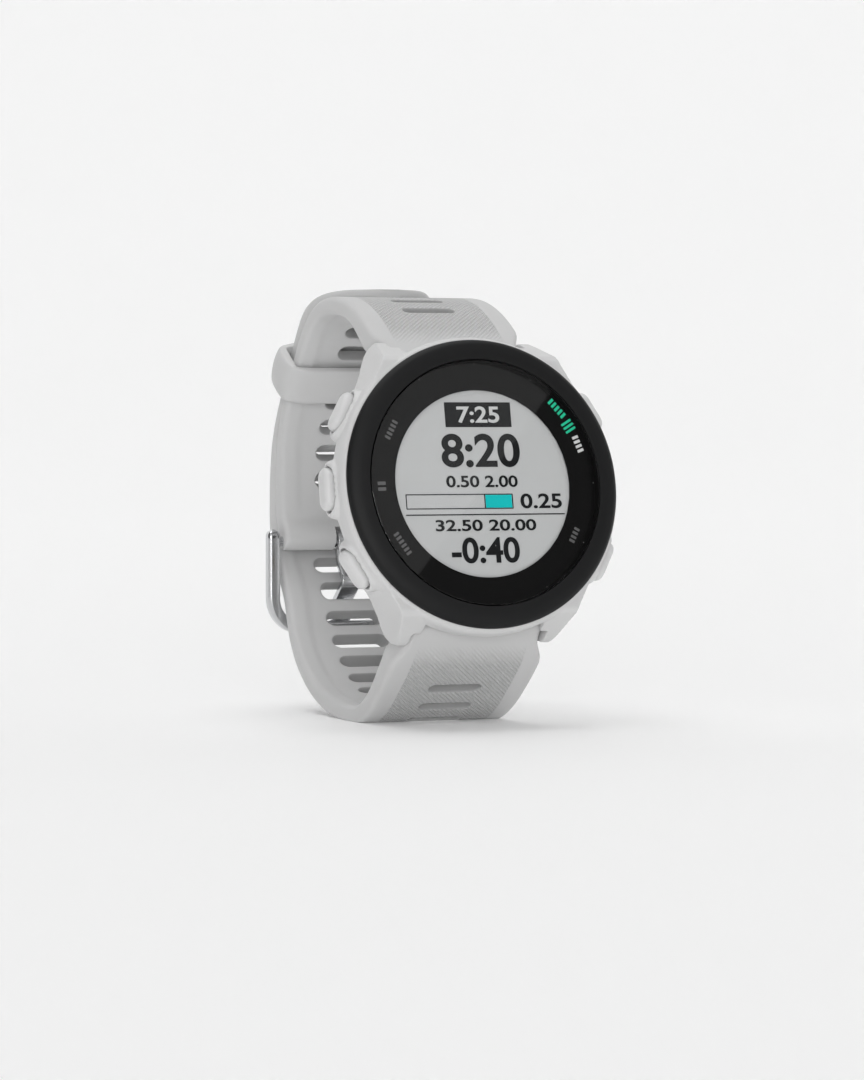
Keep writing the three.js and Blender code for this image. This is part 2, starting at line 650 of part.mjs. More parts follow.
// A strip bent so that it leaves the bar inside the band and crosses a slot to the bottom rail.
function buckleTongue() {
  const { half, thick, hub } = TONGUE;
  const line = [[0, -0.6], [-0.65, -3.3], [-2.85, -5.95], [1.15, -9.15], [1.65, -11], [1.65, -13.9]];
  const shift = thick / 2;
  const knots = line.map(([y, z]) => new THREE.Vector2(y, z));
  const sideOf = (k) => {
    const before = knots[Math.max(k - 1, 0)];
    const after = knots[Math.min(k + 1, knots.length - 1)];
    const incoming = knots[k].clone().sub(before).normalize();
    const outgoing = after.clone().sub(knots[k]).normalize();
    const way = incoming.clone().add(outgoing).normalize();
    const reach = shift / Math.max(0.6, way.dot(incoming.length() ? incoming : outgoing));
    return new THREE.Vector2(-way.y, way.x).multiplyScalar(reach);
  };
  const left = knots.map((knot, k) => knot.clone().add(sideOf(k)).toArray());
  const right = knots.map((knot, k) => knot.clone().sub(sideOf(k)).toArray());
  const strip = sideProfile([...left, ...right.reverse()], -half, half);
  const blank = geometryOf(joined(strip, rodX(hub, -half, half, 0, 0, SMALL)));
  return cut(blank, rodX(BAR.hole, -3, 3, 0, 0, SMALL));
}

function buckle() {
  const group = new THREE.Group();
  group.position.set(0, BAR.y, BAR.z);
  const frame = part("buckle_frame", buckleFrame(), STEEL);
  const bar = part("buckle_bar", rodX(BAR.radius, -12.1, 12.1, 0, 0, SMALL), STEEL);
  group.add(frame, bar, part("buckle_tongue", buckleTongue(), STEEL));
  return group;
}

// ---------------------------------------------------------------- assembly
function head() {
  const group = new THREE.Group();
  group.position.set(0, -FACE_SETBACK, FACE_HEIGHT);
  group.rotation.x = -TILT;
  group.add(
    part("lens_glass", lensGlass(), GLASS),
    part("lens_gasket", lensGasket(), RUBBER),
    part("bezel", bezelRing(), BLACK),
    part("dial_mask", dialMask(), BLACK),
    part("display_module", displayModule(), SCREEN),
    part("inner_frame", innerFrame(), BLACK),
    part("mid_case", midCase(), CASE_GREY),
    part("gps_antenna", gpsAntenna(), GOLD),
    part("battery", battery(), FOIL),
    part("vibration_motor", vibrationMotor(), STEEL),
    part("buzzer", buzzer(), BLACK),
    part("main_board", mainBoard(), BOARD_GREEN),
    part("shield_can", shieldCan(), STEEL),
    part("sensor_board", sensorBoard(), BOARD_GREEN),
    part("sensor_window", sensorWindow(), GLASS),
    part("back_cover", backCover(), CASE_GREY),
    part("back_gasket", backGasket(), RUBBER),
    chargePort(),
    springBarGroup("top", 1),
    springBarGroup("bottom", -1),
  );
  SCREW.angles.forEach((angle, i) =>
    group.add(part(`back_screw_${i + 1}`, atScrew(coverScrew(), angle), STEEL)));
  Object.entries(BUTTONS).forEach(([name, degrees]) => group.add(buttonGroup(name, degrees)));
  return group;
}

const watch = new THREE.Group();
watch.add(
  head(),
  part("strap_long", longBand(), BAND_GREY),
  part("strap_short", shortBand(), BAND_GREY),
  keeper(),
  buckle(),
);

export default watch;
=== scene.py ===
"""A GPS running watch: the looks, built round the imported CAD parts.

Pieces are modelled in millimetres and scaled to metres when they are finished. A head point is
(x, depth, z): x towards 3 o'clock, depth into the wrist from the lens, z towards 12 o'clock.
"""
import json
import math

import bmesh
import bpy
import numpy as np
from mathutils import Matrix, Vector


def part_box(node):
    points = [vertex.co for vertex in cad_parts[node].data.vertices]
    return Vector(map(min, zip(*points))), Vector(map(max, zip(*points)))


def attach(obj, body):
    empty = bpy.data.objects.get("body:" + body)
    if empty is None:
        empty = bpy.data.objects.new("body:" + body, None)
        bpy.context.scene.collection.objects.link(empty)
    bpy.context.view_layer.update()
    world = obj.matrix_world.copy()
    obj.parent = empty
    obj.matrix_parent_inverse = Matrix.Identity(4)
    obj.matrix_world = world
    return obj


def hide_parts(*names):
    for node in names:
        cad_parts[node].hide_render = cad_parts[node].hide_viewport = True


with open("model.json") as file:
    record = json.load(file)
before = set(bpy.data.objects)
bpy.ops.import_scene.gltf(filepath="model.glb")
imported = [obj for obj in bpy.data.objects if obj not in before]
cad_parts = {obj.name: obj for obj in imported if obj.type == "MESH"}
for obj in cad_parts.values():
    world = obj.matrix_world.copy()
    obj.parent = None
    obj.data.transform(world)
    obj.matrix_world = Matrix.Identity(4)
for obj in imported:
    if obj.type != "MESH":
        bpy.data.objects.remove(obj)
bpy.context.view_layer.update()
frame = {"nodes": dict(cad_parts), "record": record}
MM = 0.001

# ---------------------------------------------------------------- places
MOUNTS = {mount["name"]: mount for mount in frame["record"]["mounts"]}
LENS_CENTRE = Vector(MOUNTS["lens_face"]["pos_m"])
DEPTH_AXIS = -Vector(MOUNTS["lens_face"]["axis"])
UP_AXIS = Vector((1, 0, 0)).cross(DEPTH_AXIS)
TURN = Matrix((Vector((1, 0, 0)), DEPTH_AXIS, UP_AXIS)).transposed().to_4x4()
HEAD = Matrix.Translation(LENS_CENTRE / MM) @ TURN
SHARED = Matrix.Identity(4)
BAR_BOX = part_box("buckle_bar")
BAR = (BAR_BOX[0] + BAR_BOX[1]) / (2 * MM)
BAR_PLACE = Matrix.Translation(BAR) @ Matrix.Rotation(math.pi / 2, 4, "Z")
BUTTONS = {"light": 150, "up": 180, "down": 211, "start": 30, "back": -29}
BUTTON_DEPTH = 5.2
SPRING_BAR_DEPTH, SPRING_BAR_REACH = 8.35, 18.3
SCREW_ANGLES, SCREW_RING = (45, 135, 225, 315), 15.95
CAMERA_TURN = math.radians(-23.36)


# ---------------------------------------------------------------- mesh helpers
def linked(name, data):
    obj = bpy.data.objects.new(name, data)
    bpy.context.scene.collection.objects.link(obj)
    return obj


def mesh_object(name, points, faces, matrix=SHARED):
    """A new object from points, placed by matrix."""
    mesh = bpy.data.meshes.new(name)
    mesh.from_pydata([matrix @ Vector(point) for point in points], [], faces)
    mesh.validate()
    return linked(name, mesh)


def tidy(obj, merge=None, angle=35):
    """Merges doubled points, turns the faces outwards and smooths all but the sharp edges."""
    bm = bmesh.new()
    bm.from_mesh(obj.data)
    if merge:
        bmesh.ops.remove_doubles(bm, verts=bm.verts, dist=merge)
    bmesh.ops.recalc_face_normals(bm, faces=bm.faces)
    bm.to_mesh(obj.data)
    bm.free()
    obj.data.polygons.foreach_set("use_smooth", [True] * len(obj.data.polygons))
    if angle:
        obj.data.set_sharp_from_angle(angle=math.radians(angle))
    return obj


def evaluated_mesh(obj):
    """A new mesh of the object as its modifiers leave it."""
    bpy.context.view_layer.update()
    graph = bpy.context.evaluated_depsgraph_get()
    return bpy.data.meshes.new_from_object(obj.evaluated_get(graph))


def apply_modifiers(obj):
    mesh = evaluated_mesh(obj)
    obj.modifiers.clear()
    obj.data = mesh
    return obj


def boolean(obj, tools, operation="DIFFERENCE"):
    for tool in tools:
        modifier = obj.modifiers.new("boolean", "BOOLEAN")
        modifier.operation = operation
        modifier.solver = "EXACT"
        modifier.object = tool
    apply_modifiers(obj)
    for tool in tools:
        bpy.data.objects.remove(tool)
    return obj


def moulded(obj, voxel, smooth):
    """Remeshes a solid, relaxes it so that every edge gets a small fillet, and thins the mesh."""
    remesh = obj.modifiers.new("remesh", "REMESH")
    remesh.mode = "VOXEL"
    remesh.voxel_size = voxel
    relax = obj.modifiers.new("relax", "SMOOTH")
    relax.factor = 0.5
    relax.iterations = smooth
    thin = obj.modifiers.new("thin", "DECIMATE")
    thin.ratio = 0.3
    return tidy(apply_modifiers(obj), angle=None)


def fillet(corners, radii, steps=5):
    """Rounds the corners of a closed outline of 2-D points."""
    count = len(corners)
    if not hasattr(radii, "__len__"):
        radii = [radii] * count
    outline = []
    for k, corner in enumerate(corners):
        corner = Vector(corner)
        back = Vector(corners[k - 1]) - corner
        ahead = Vector(corners[(k + 1) % count]) - corner
        reach = min(radii[k], back.length * 0.49, ahead.length * 0.49)
        if reach < 1e-3:
            outline.append(tuple(corner))
            continue
        start = corner + back.normalized() * reach
        end = corner + ahead.normalized() * reach
        for i in range(steps + 1):
            t = i / steps
            outline.append(tuple(start * (1 - t) ** 2 + corner * 2 * t * (1 - t) + end * t ** 2))
    return outline


def lathe(name, profile, segments=128, matrix=HEAD, centre=(0, 0, 0)):
    """Turns (radius, depth) points round the depth axis through centre. Points on it close the ends."""
    points = []
    rings = []
    for radius, depth in profile:
        if radius < 1e-6:
            rings.append([len(points)])
            points.append((centre[0], centre[1] + depth, centre[2]))
            continue
        rings.append(list(range(len(points), len(points) + segments)))
        for k in range(segments):
            turn = 2 * math.pi * k / segments
            points.append((centre[0] + radius * math.cos(turn), centre[1] + depth,
                           centre[2] + radius * math.sin(turn)))
    faces = []
    pairs = list(zip(rings, rings[1:]))
    if len(rings[0]) > 1 and len(rings[-1]) > 1:
        pairs.append((rings[-1], rings[0]))
    for a, b in pairs:
        for k in range(segments):
            nxt = (k + 1) % segments
            if len(a) == 1:
                faces.append((a[0], b[k], b[nxt]))
            elif len(b) == 1:
                faces.append((a[k], b[0], a[nxt]))
            else:
                faces.append((a[k], b[k], b[nxt], a[nxt]))
    return tidy(mesh_object(name, points, faces, matrix))


def prism(name, outline, place, low, high, matrix=HEAD):
    """Extrudes a closed 2-D outline. place(a, b, c) gives the point for outline point (a, b) at c."""
    count = len(outline)
    points = [place(a, b, c) for c in (low, high) for a, b in outline]
    faces = [tuple(range(count)), tuple(range(2 * count - 1, count - 1, -1))]
    faces += [(k, k + count, (k + 1) % count + count, (k + 1) % count) for k in range(count)]
    return tidy(mesh_object(name, points, faces, matrix))


def block(name, low, high, matrix=HEAD):
    corners = [(low[0], low[2]), (high[0], low[2]), (high[0], high[2]), (low[0], high[2])]
    return prism(name, corners, lambda a, b, c: (a, c, b), low[1], high[1], matrix)


def circle(radius, count):
    turns = [2 * math.pi * k / count for k in range(count)]
    return [(radius * math.cos(turn), radius * math.sin(turn)) for turn in turns]


def stadium(long, wide, steps=12):
    """Points round a stadium, long in the first direction."""
    reach = (long - wide) / 2
    points = []
    for side, start in ((1, -90), (-1, 90)):
        for i in range(steps + 1):
            turn = math.radians(start + 180 * i / steps)
            points.append((side * reach + wide / 2 * math.cos(turn), wide / 2 * math.sin(turn)))
    return points


def skin(name, rings, matrix=SHARED, loop=False):
    """Joins rings of points, all of one length, into a closed surface: a tube with caps, or a loop."""
    count = len(rings[0])
    points = [point for ring in rings for point in ring]
    faces = []
    spans = len(rings) if loop else len(rings) - 1
    for r in range(spans):
        a = r * count
        b = ((r + 1) % len(rings)) * count
        faces += [(a + k, a + (k + 1) % count, b + (k + 1) % count, b + k) for k in range(count)]
    if not loop:
        faces += [tuple(range(count)), tuple(range(len(points) - 1, len(points) - count - 1, -1))]
    return tidy(mesh_object(name, points, faces, matrix))


def ease(value, low, high):
    t = min(1.0, max(0.0, (value - low) / (high - low)))
    return t * t * (3 - 2 * t)


def mix(a, b, t):
    return a + (b - a) * t


# ---------------------------------------------------------------- materials
class Nodes:
    """Builds a node material step by step."""

    def __init__(self, name, **constants):
        self.material = bpy.data.materials.new(name)
        self.material.use_nodes = True
        self.tree = self.material.node_tree
        self.shader = self.tree.nodes["Principled BSDF"]
        for socket, value in constants.items():
            self.shader.inputs[socket.replace("_", " ")].default_value = value

    def add(self, kind, **settings):
        node = self.tree.nodes.new(kind)
        for key, value in settings.items():
            setattr(node, key, value)
        return node

    def link(self, source, target):
        self.tree.links.new(source, target)

    def math(self, operation, a, b=None, c=None, clamp=False):
        node = self.add("ShaderNodeMath", operation=operation, use_clamp=clamp)
        for socket, value in zip(node.inputs, (a, b, c)):
            if isinstance(value, (int, float)):
                socket.default_value = value
            elif value is not None:
                self.link(value, socket)
        return node.outputs[0]

    def place(self):
        return self.add("ShaderNodeTexCoord").outputs["Object"]

    def noise(self, per_mm, detail=3, vector=None):
        node = self.add("ShaderNodeTexNoise")
        node.inputs["Scale"].default_value = per_mm / MM
        node.inputs["Detail"].default_value = detail
        self.link(vector or self.place(), node.inputs["Vector"])
        return node.outputs["Fac"]

    def ramp(self, factor, low, high):
        """A value between two ends, chosen by factor."""
        node = self.add("ShaderNodeMapRange")
        self.link(factor, node.inputs["Value"])
        node.inputs["To Min"].default_value = low
        node.inputs["To Max"].default_value = high
        return node.outputs["Result"]

    def colours(self, factor, a, b):
        node = self.add("ShaderNodeMix", data_type="RGBA")
        self.link(factor, node.inputs["Factor"])
        node.inputs["A"].default_value = (*a, 1)
        node.inputs["B"].default_value = (*b, 1)
        self.link(node.outputs["Result"], self.shader.inputs["Base Color"])
        return node

    def bump(self, height, distance, strength=1.0, after=None):
        node = self.add("ShaderNodeBump")
        node.inputs["Distance"].default_value = distance * MM
        node.inputs["Strength"].default_value = strength
        self.link(height, node.inputs["Height"])
        if after:
            self.link(after.outputs["Normal"], node.inputs["Normal"])
        self.link(node.outputs["Normal"], self.shader.inputs["Normal"])
        return node


def grained(name, colour, spread, rough, rough_spread, grain, depth, **constants):
    """Moulded or printed surface: fine grain in bump and roughness, with slow colour drift."""
    nodes = Nodes(name, **constants)
    drift = nodes.noise(0.12, 2)
    pale = tuple(min(1, c * (1 + spread)) for c in colour)
    nodes.colours(drift, tuple(c * (1 - spread) for c in colour), pale)
    fine = nodes.noise(grain, 4)
    nodes.link(nodes.ramp(fine, rough - rough_spread, rough + rough_spread), nodes.shader.inputs["Roughness"])
    nodes.bump(fine, depth)
    return nodes.material


def grey(level):
    """Linear grey from a display value of 0 to 255."""
    return ((level / 255) ** 2.2,) * 3


SATIN = grained("case_satin", grey(212), 0.015, 0.42, 0.06, 6, 0.004)
CAP = grained("button_satin", grey(214), 0.01, 0.36, 0.05, 7, 0.003)
DARK = grained("bezel_matte", (0.0085, 0.0087, 0.0092), 0.05, 0.5, 0.07, 9, 0.005, Specular_IOR_Level=0.22)
BLACK = grained("moulded_black", (0.012, 0.012, 0.013), 0.05, 0.5, 0.08, 5, 0.004)
PRINT = grained("black_print", (0.0014, 0.0014, 0.0015), 0.02, 0.5, 0.03, 12, 0.0006, Specular_IOR_Level=0.02)
SEAL = grained("seal_rubber", (0.016, 0.016, 0.017), 0.06, 0.75, 0.06, 3, 0.006)
STEEL = grained("polished_steel", (0.60, 0.605, 0.615), 0.02, 0.16, 0.05, 4, 0.0012, Metallic=1.0)
SHEET = grained("sheet_steel", (0.52, 0.53, 0.55), 0.03, 0.33, 0.06, 3, 0.002, Metallic=1.0)
GOLD = grained("gold_plate", (0.83, 0.60, 0.25), 0.02, 0.24, 0.05, 4, 0.001, Metallic=1.0)
FOIL = grained("cell_foil", (0.45, 0.46, 0.48), 0.04, 0.42, 0.08, 1.5, 0.012, Metallic=0.8)
BOARD = grained("circuit_green", (0.02, 0.09, 0.045), 0.1, 0.45, 0.1, 2, 0.006)


def inked(name, colour, painted_glow):
    """Flat colour under the glass, laminated to it, with a painted glow: an emission that brightens it,
    though it gives no light of its own.
    """
    return grained(name, colour, 0.01, 0.5, 0.04, 12, 0.0004, Specular_IOR_Level=0.04,
                   Emission_Color=(*colour, 1), Emission_Strength=painted_glow)


# Painted light: the last argument of each is an emission that makes the screen and the printed marks glow,
# though none of them lights up.
SCREEN = inked("reflective_screen", (0.57, 0.58, 0.58), 0.02)
INK = inked("screen_ink", (0.010, 0.011, 0.012), 0.0)
PALE_INK = inked("screen_pale", (0.62, 0.63, 0.63), 0.05)
TEAL = inked("screen_teal", (0.006, 0.52, 0.52), 0.1)
GREEN = inked("print_green", (0.02, 0.48, 0.27), 0.3)
WHITE = inked("print_white", (0.6, 0.6, 0.6), 0.2)
DIM = inked("print_grey", (0.10, 0.10, 0.10), 0.2)
SENSOR = grained("sensor_gloss", (0.006, 0.006, 0.007), 0.03, 0.1, 0.03, 5, 0.0008, Coat_Weight=0.5)


def lens_material():
    """Thin clear glass: it passes light straight through and mirrors by the angle of view."""
    nodes = Nodes("lens_clear", Roughness=0.02)
    clear = nodes.add("ShaderNodeBsdfTransparent")
    gloss = nodes.add("ShaderNodeBsdfGlossy")
    smear = nodes.ramp(nodes.noise(0.15, 2), 0.003, 0.01)
    nodes.link(smear, gloss.inputs["Roughness"])
    facing = nodes.add("ShaderNodeLayerWeight")
    facing.inputs["Blend"].default_value = 0.5
    grazing = nodes.math("POWER", facing.outputs["Facing"], 5)
    mirrored = nodes.math("MULTIPLY_ADD", grazing, 0.8, 0.035)
    blend = nodes.add("ShaderNodeMixShader")
    nodes.link(mirrored, blend.inputs["Fac"])
    nodes.link(clear.outputs["BSDF"], blend.inputs[1])
    nodes.link(gloss.outputs["BSDF"], blend.inputs[2])
    nodes.link(blend.outputs["Shader"], nodes.tree.nodes["Material Output"].inputs["Surface"])
    return nodes.material


UV_ACROSS, UV_ALONG = 100, 200
# UV offsets that tell the faces apart; the SLOT_WALL code selects the painted shade in silicone().
OUTER_SIDE, INNER_SIDE, SLOT_WALL = 0.5, 0.9, 1.5
RIB_PITCH, BEAD_PITCH = 0.5, 0.9
RIB_FIELD, RIB_DEPTH = 8.35, 0.16


def silicone(name, hatch):
    """Soft matte silicone. hatch is None, or where the ribs start, are full, fade and end along it."""
    nodes = Nodes(name, Sheen_Weight=0.12, Sheen_Roughness=0.5)
    drift = nodes.noise(0.1, 2)
    base = nodes.colours(drift, grey(201), grey(205))
    fine = nodes.noise(4, 3)
    nodes.link(nodes.ramp(fine, 0.52, 0.66), nodes.shader.inputs["Roughness"])
    skin_bump = nodes.bump(fine, 0.004)
    if not hatch:
        return nodes.material
    split = nodes.add("ShaderNodeSeparateXYZ")
    nodes.link(nodes.add("ShaderNodeUVMap", uv_map="flat").outputs["UV"], split.inputs["Vector"])
    across = nodes.math("MULTIPLY", nodes.math("SUBTRACT", split.outputs["X"], OUTER_SIDE), UV_ACROSS)
    along = nodes.math("MULTIPLY", split.outputs["Y"], UV_ALONG)
    diagonal = 2 * math.pi / math.sqrt(2)
    phase = nodes.math("MULTIPLY", nodes.math("SUBTRACT", across, along), diagonal / RIB_PITCH)
    cross = nodes.math("MULTIPLY", nodes.math("ADD", across, along), diagonal / BEAD_PITCH)
    ribs = nodes.math("MULTIPLY_ADD", nodes.math("SINE", phase), 0.5, 0.5)
    beads = nodes.math("MULTIPLY_ADD", nodes.math("SINE", cross), 0.18, 0.82)
    height = nodes.math("MULTIPLY", ribs, beads)
    reach = nodes.math("ABSOLUTE", across)
    inside = nodes.math("LESS_THAN", reach, RIB_FIELD)
    start, full, fade, end = hatch
    fade_in = nodes.math("DIVIDE", nodes.math("SUBTRACT", along, start), full - start, clamp=True)
    fade_out = nodes.math("DIVIDE", nodes.math("SUBTRACT", end, along), end - fade, clamp=True)
    mask = nodes.math("MULTIPLY", inside, nodes.math("MULTIPLY", fade_in, fade_out))
    sunk = nodes.math("MULTIPLY", nodes.math("SUBTRACT", 1.0, height), mask)
    nodes.bump(nodes.math("MULTIPLY", sunk, -1.0), RIB_DEPTH, after=skin_bump)
    # Painted shade: the base colour is darkened in the sunk grooves of the hatch, where shade would fall.
    shade = nodes.add("ShaderNodeMix", data_type="RGBA", blend_type="MULTIPLY")
    nodes.link(nodes.math("MULTIPLY", sunk, 0.4), shade.inputs["Factor"])
    nodes.link(base.outputs["Result"], shade.inputs["A"])
    shade.inputs["B"].default_value = (0.62, 0.62, 0.62, 1)
    # Painted shade: faces coded as slot walls get their colour darkened, as if shade fell inside the slots.
    shadowed = nodes.add("ShaderNodeMix", data_type="RGBA", blend_type="MULTIPLY")
    in_slot = nodes.math("GREATER_THAN", split.outputs["X"], (INNER_SIDE + SLOT_WALL) / 2)
    nodes.link(nodes.math("MULTIPLY", in_slot, 0.55), shadowed.inputs["Factor"])
    nodes.link(shade.outputs["Result"], shadowed.inputs["A"])
    shadowed.inputs["B"].default_value = (0.35, 0.35, 0.35, 1)
    nodes.link(shadowed.outputs["Result"], nodes.shader.inputs["Base Color"])
    return nodes.material


LENS = lens_material()
LOOP_SILICONE = silicone("keeper_silicone", None)


def finish_piece(obj, material, body, slot, *replaced):
    """Scales a piece from millimetres to metres and ties it to its body and CAD nodes. slot is not used."""
    obj.data.transform(Matrix.Scale(MM, 4))
    obj.data.materials.clear()
    obj.data.materials.append(material)
    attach(obj, body)
    if replaced:
        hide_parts(*replaced)
    return obj


# ---------------------------------------------------------------- the head
def button_matrix(degrees):
    """Local z points outwards, local x runs round the case and local y goes deeper."""
    turn = math.radians(degrees)
    out = Vector((math.cos(turn), 0, math.sin(turn)))
    deep = Vector((0, 1, 0))
    side = deep.cross(out)
    basis = Matrix((side, deep, out)).transposed().to_4x4()
    return HEAD @ Matrix.Translation((0, BUTTON_DEPTH, 0)) @ basis


def flat_place(a, b, c):
    return (a, b, c)


def lug_blank(name, side_x, side_z):
    """A lug as its front outline, cut to its side outline."""
    tip = 21.35
    front = [(9, 12), (16.6, 12), (15.1, 14.5), (13.7, 17), (12.2, 20.4), (11.6, tip), (9, tip)]
    front = [(x * side_x, z * side_z) for x, z in front]
    side = [(12, 1.8), (17.5, 1.9), (18.2, 2.3), (21.1, 7.6), (tip, 8.7), (20.9, 10.1), (19.8, 10.9),
            (18.4, 10.7), (14.6, 9.2), (12, 9)]
    side = [(z * side_z, depth) for z, depth in side]
    lug = prism(name, front, lambda a, b, c: (a, c, b), 0, 14)
    low, high = sorted((9 * side_x, 18 * side_x))
    limit = prism("limit", side, lambda a, b, c: (c, b, a), low, high)
    return boolean(lug, [limit], "INTERSECT")


def mid_case():
    outside = [(0, 1.65), (20.45, 1.65), (20.85, 2.2), (21, 3), (21, 4.5), (20.8, 5.4),
               (20.3, 6.5), (19.5, 7.7), (18.6, 8.7), (17.85, 9.3), (0, 9.3)]
    case = lathe("mid_case_shell", outside, 144)
    lugs = [lug_blank(f"lug{x}{z}", x, z) for x in (-1, 1) for z in (-1, 1)]
    guards = []
    cutters = []
    for degrees in BUTTONS.values():
        place = button_matrix(degrees)
        rings = []
        for grow, high in ((-0.6, 18.9), (0, 19.0), (0, 20.9), (-0.25, 21.4), (-0.6, 21.6)):
            rings.append([(x, y, high) for x, y in stadium(8.2 + 2 * grow, 4.4 + 2 * grow)])
        guards.append(skin("guard", rings, place))
        cutters.append(prism("pocket", stadium(6.6, 3.6), flat_place, 19.8, 26, place))
        cutters.append(prism("bore", circle(1.15, 24), flat_place, 14.5, 22.5, place))
        cutters.append(prism("seat", circle(1.748, 24), flat_place, 15.4, 18.6, place))
    boolean(case, lugs + guards, "UNION")
    for turn in (1, -1):
        low, high = sorted((16.1 * turn, 24 * turn))
        cutters.append(block("notch", (-10.25, 6, low), (10.25, 14, high)))
        hole = [(SPRING_BAR_DEPTH + a, SPRING_BAR_REACH * turn + b) for a, b in circle(0.65, 32)]
        cutters.append(prism("bar_hole", hole, lambda a, b, c: (c, a, b), -11.7, 11.7))
    inside = [(0, 1), (18.7, 1), (18.7, 2.2), (16.3, 2.2), (16.3, 3.4), (17.3, 3.4), (17.3, 5.2), (14.2, 5.2),
              (14.2, 9.35), (17.75, 9.35), (17.75, 14), (0, 14)]
    cutters.append(lathe("inside", inside, 144))
    flats = block("flats", (-20, 0, -15), (20, 12, 15))
    well = lathe("well", [(0, 5.1), (17.2, 5.1), (17.2, 8.1), (0, 8.1)], 96)
    cutters.append(boolean(well, [flats], "INTERSECT"))
    boolean(case, cutters)
    moulded(case, 0.18, 4)
    return finish_piece(case, SATIN, "watch", "mid_case", "mid_case")


def bezel():
    profile = fillet([(17.33, 0.03), (18.8, 0.2), (19.8, 0.54), (20.3, 1.05), (20.3, 1.55), (18.6, 1.55),
                      (18.6, 2.1), (16.4, 2.1), (16.4, 1.5), (17.33, 1.5)],
                     [0.05, 0.5, 0.45, 0.25, 0.1, 0.05, 0.05, 0.05, 0.05, 0.05])
    return finish_piece(lathe("bezel_ring", profile, 192), DARK, "watch", "bezel", "bezel")


def lens():
    profile = [(0, 0), (9, 0), (16.9, 0), (17.1, 0), (17.17, 0.03), (17.2, 0.1), (17.2, 1.2), (0, 1.2)]
    glass = finish_piece(lathe("lens_front", profile, 192), LENS, "watch", "lens_glass", "lens_glass")
    glass.visible_shadow = False
    ring = [(13.15, 1.24), (17.06, 1.24), (17.06, 0.07), (17.18, 0.06), (17.18, 1.28), (13.15, 1.28)]
    finish_piece(lathe("lens_print", ring, 192), PRINT, "watch", "dial_mask")


def flat_mark(name, outlines, front, back, material, slot, texts=()):
    """Printed marks in one piece: closed outlines in head x and z, and rows of numerals."""
    points = []
    faces = []
    for text in texts:
        more_points, more_faces = numerals(*text[:5], front, back, text[5])
        faces += [tuple(k + len(points) for k in face) for face in more_faces]
        points += more_points
    for outline in outlines:
        start = len(points)
        count = len(outline)
        points += [(x, depth, z) for depth in (front, back) for x, z in outline]
        faces.append(tuple(range(start, start + count)))
        faces.append(tuple(range(start + 2 * count - 1, start + count - 1, -1)))
        for k in range(count):
            nxt = (k + 1) % count
            faces.append((start + k, start + k + count, start + nxt + count, start + nxt))
    marks = tidy(mesh_object(name, points, faces, HEAD), merge=1e-4)
    return finish_piece(marks, material, "watch", slot)


def bar(x, z, wide, high, turn=0.0, soft=0.12):
    """A rounded rectangle centred on (x, z)."""
    half = Vector((wide / 2, high / 2))
    corners = [(-half.x, -half.y), (half.x, -half.y), (half.x, half.y), (-half.x, half.y)]
    c, s = math.cos(turn), math.sin(turn)
    return [(x + a * c - b * s, z + a * s + b * c) for a, b in fillet(corners, soft, 3)]


def numerals(text, x, z, wide, high, front, back, weight):
    """Plain numerals centred on (x, z): their points and faces in the head's frame."""
    curve = bpy.data.curves.new("numerals", "FONT")
    curve.body = text
    curve.extrude = 0.5
    curve.offset = weight
    curve.resolution_u = 6
    letters = linked("numerals", curve)
    mesh = evaluated_mesh(letters)
    flat = np.array([vertex.co[:] for vertex in mesh.vertices])
    low, high_corner = flat.min(0), flat.max(0)
    share = (flat - low) / (high_corner - low) - 0.5
    points = [(x + a * wide, mix(back, front, c + 0.5), z + b * high) for a, b, c in share]
    faces = [tuple(polygon.vertices) for polygon in mesh.polygons]
    bpy.data.objects.remove(letters)
    return points, faces


def on_ring(radius, degrees):
    turn = math.radians(degrees)
    return radius * math.cos(turn), radius * math.sin(turn)


def ring_caption(degrees, count, pitch, high, radius=15.2, flip=False):
    """Short bars side by side along a chord of the printed ring."""
    x, z = on_ring(radius, degrees)
    turn = math.radians(degrees + (90 if flip else -90))
    steps = [k - (count - 1) / 2 for k in range(count)]
    return [bar(x + math.cos(turn) * pitch * k, z + math.sin(turn) * pitch * k, pitch * 0.6, high, turn, 0.05)
            for k in steps]


def screen_graphics():
    front, back = 1.50, 1.549
    texts = [("8:20", 0.14, 4.7, 11.9, 4.75, 0.022), ("0.25", 8.75, -2.45, 6.3, 2.1, 0.02),
             ("-0:40", -0.26, -9.3, 10.3, 3.64, 0.022), ("0.50 2.00", 0, 0.35, 10.8, 1.65, 0.02),
             ("32.50 20.00", 0.1, -5.8, 15.2, 1.6, 0.02)]
    ink = [bar(0.2, -4.3, 24.0, 0.16, soft=0.02)]
    ink += [bar(-3.6, -1.46, 16.1, 0.13, soft=0.02), bar(-3.6, -3.44, 16.1, 0.13, soft=0.02)]
    ink += [bar(x, -2.45, 0.13, 2.0, soft=0.02) for x in (-11.6, 0.2, 4.4)]
    flat_mark("screen_dark_marks", ink, front, back, INK, "display_module", texts)
    flat_mark("screen_time_box", [bar(0.15, 9.75, 10.0, 3.5, soft=0.05)], 1.51, back, INK, "display_module")
    flat_mark("screen_time_digits", [], 1.47, 1.509, PALE_INK, "display_module",
              [("7:25", 0.15, 9.75, 6.4, 2.35, 0.02)])
    flat_mark("screen_teal_bar", [bar(2.3, -2.45, 3.98, 1.8, soft=0.02)], 1.51, back, TEAL, "display_module")


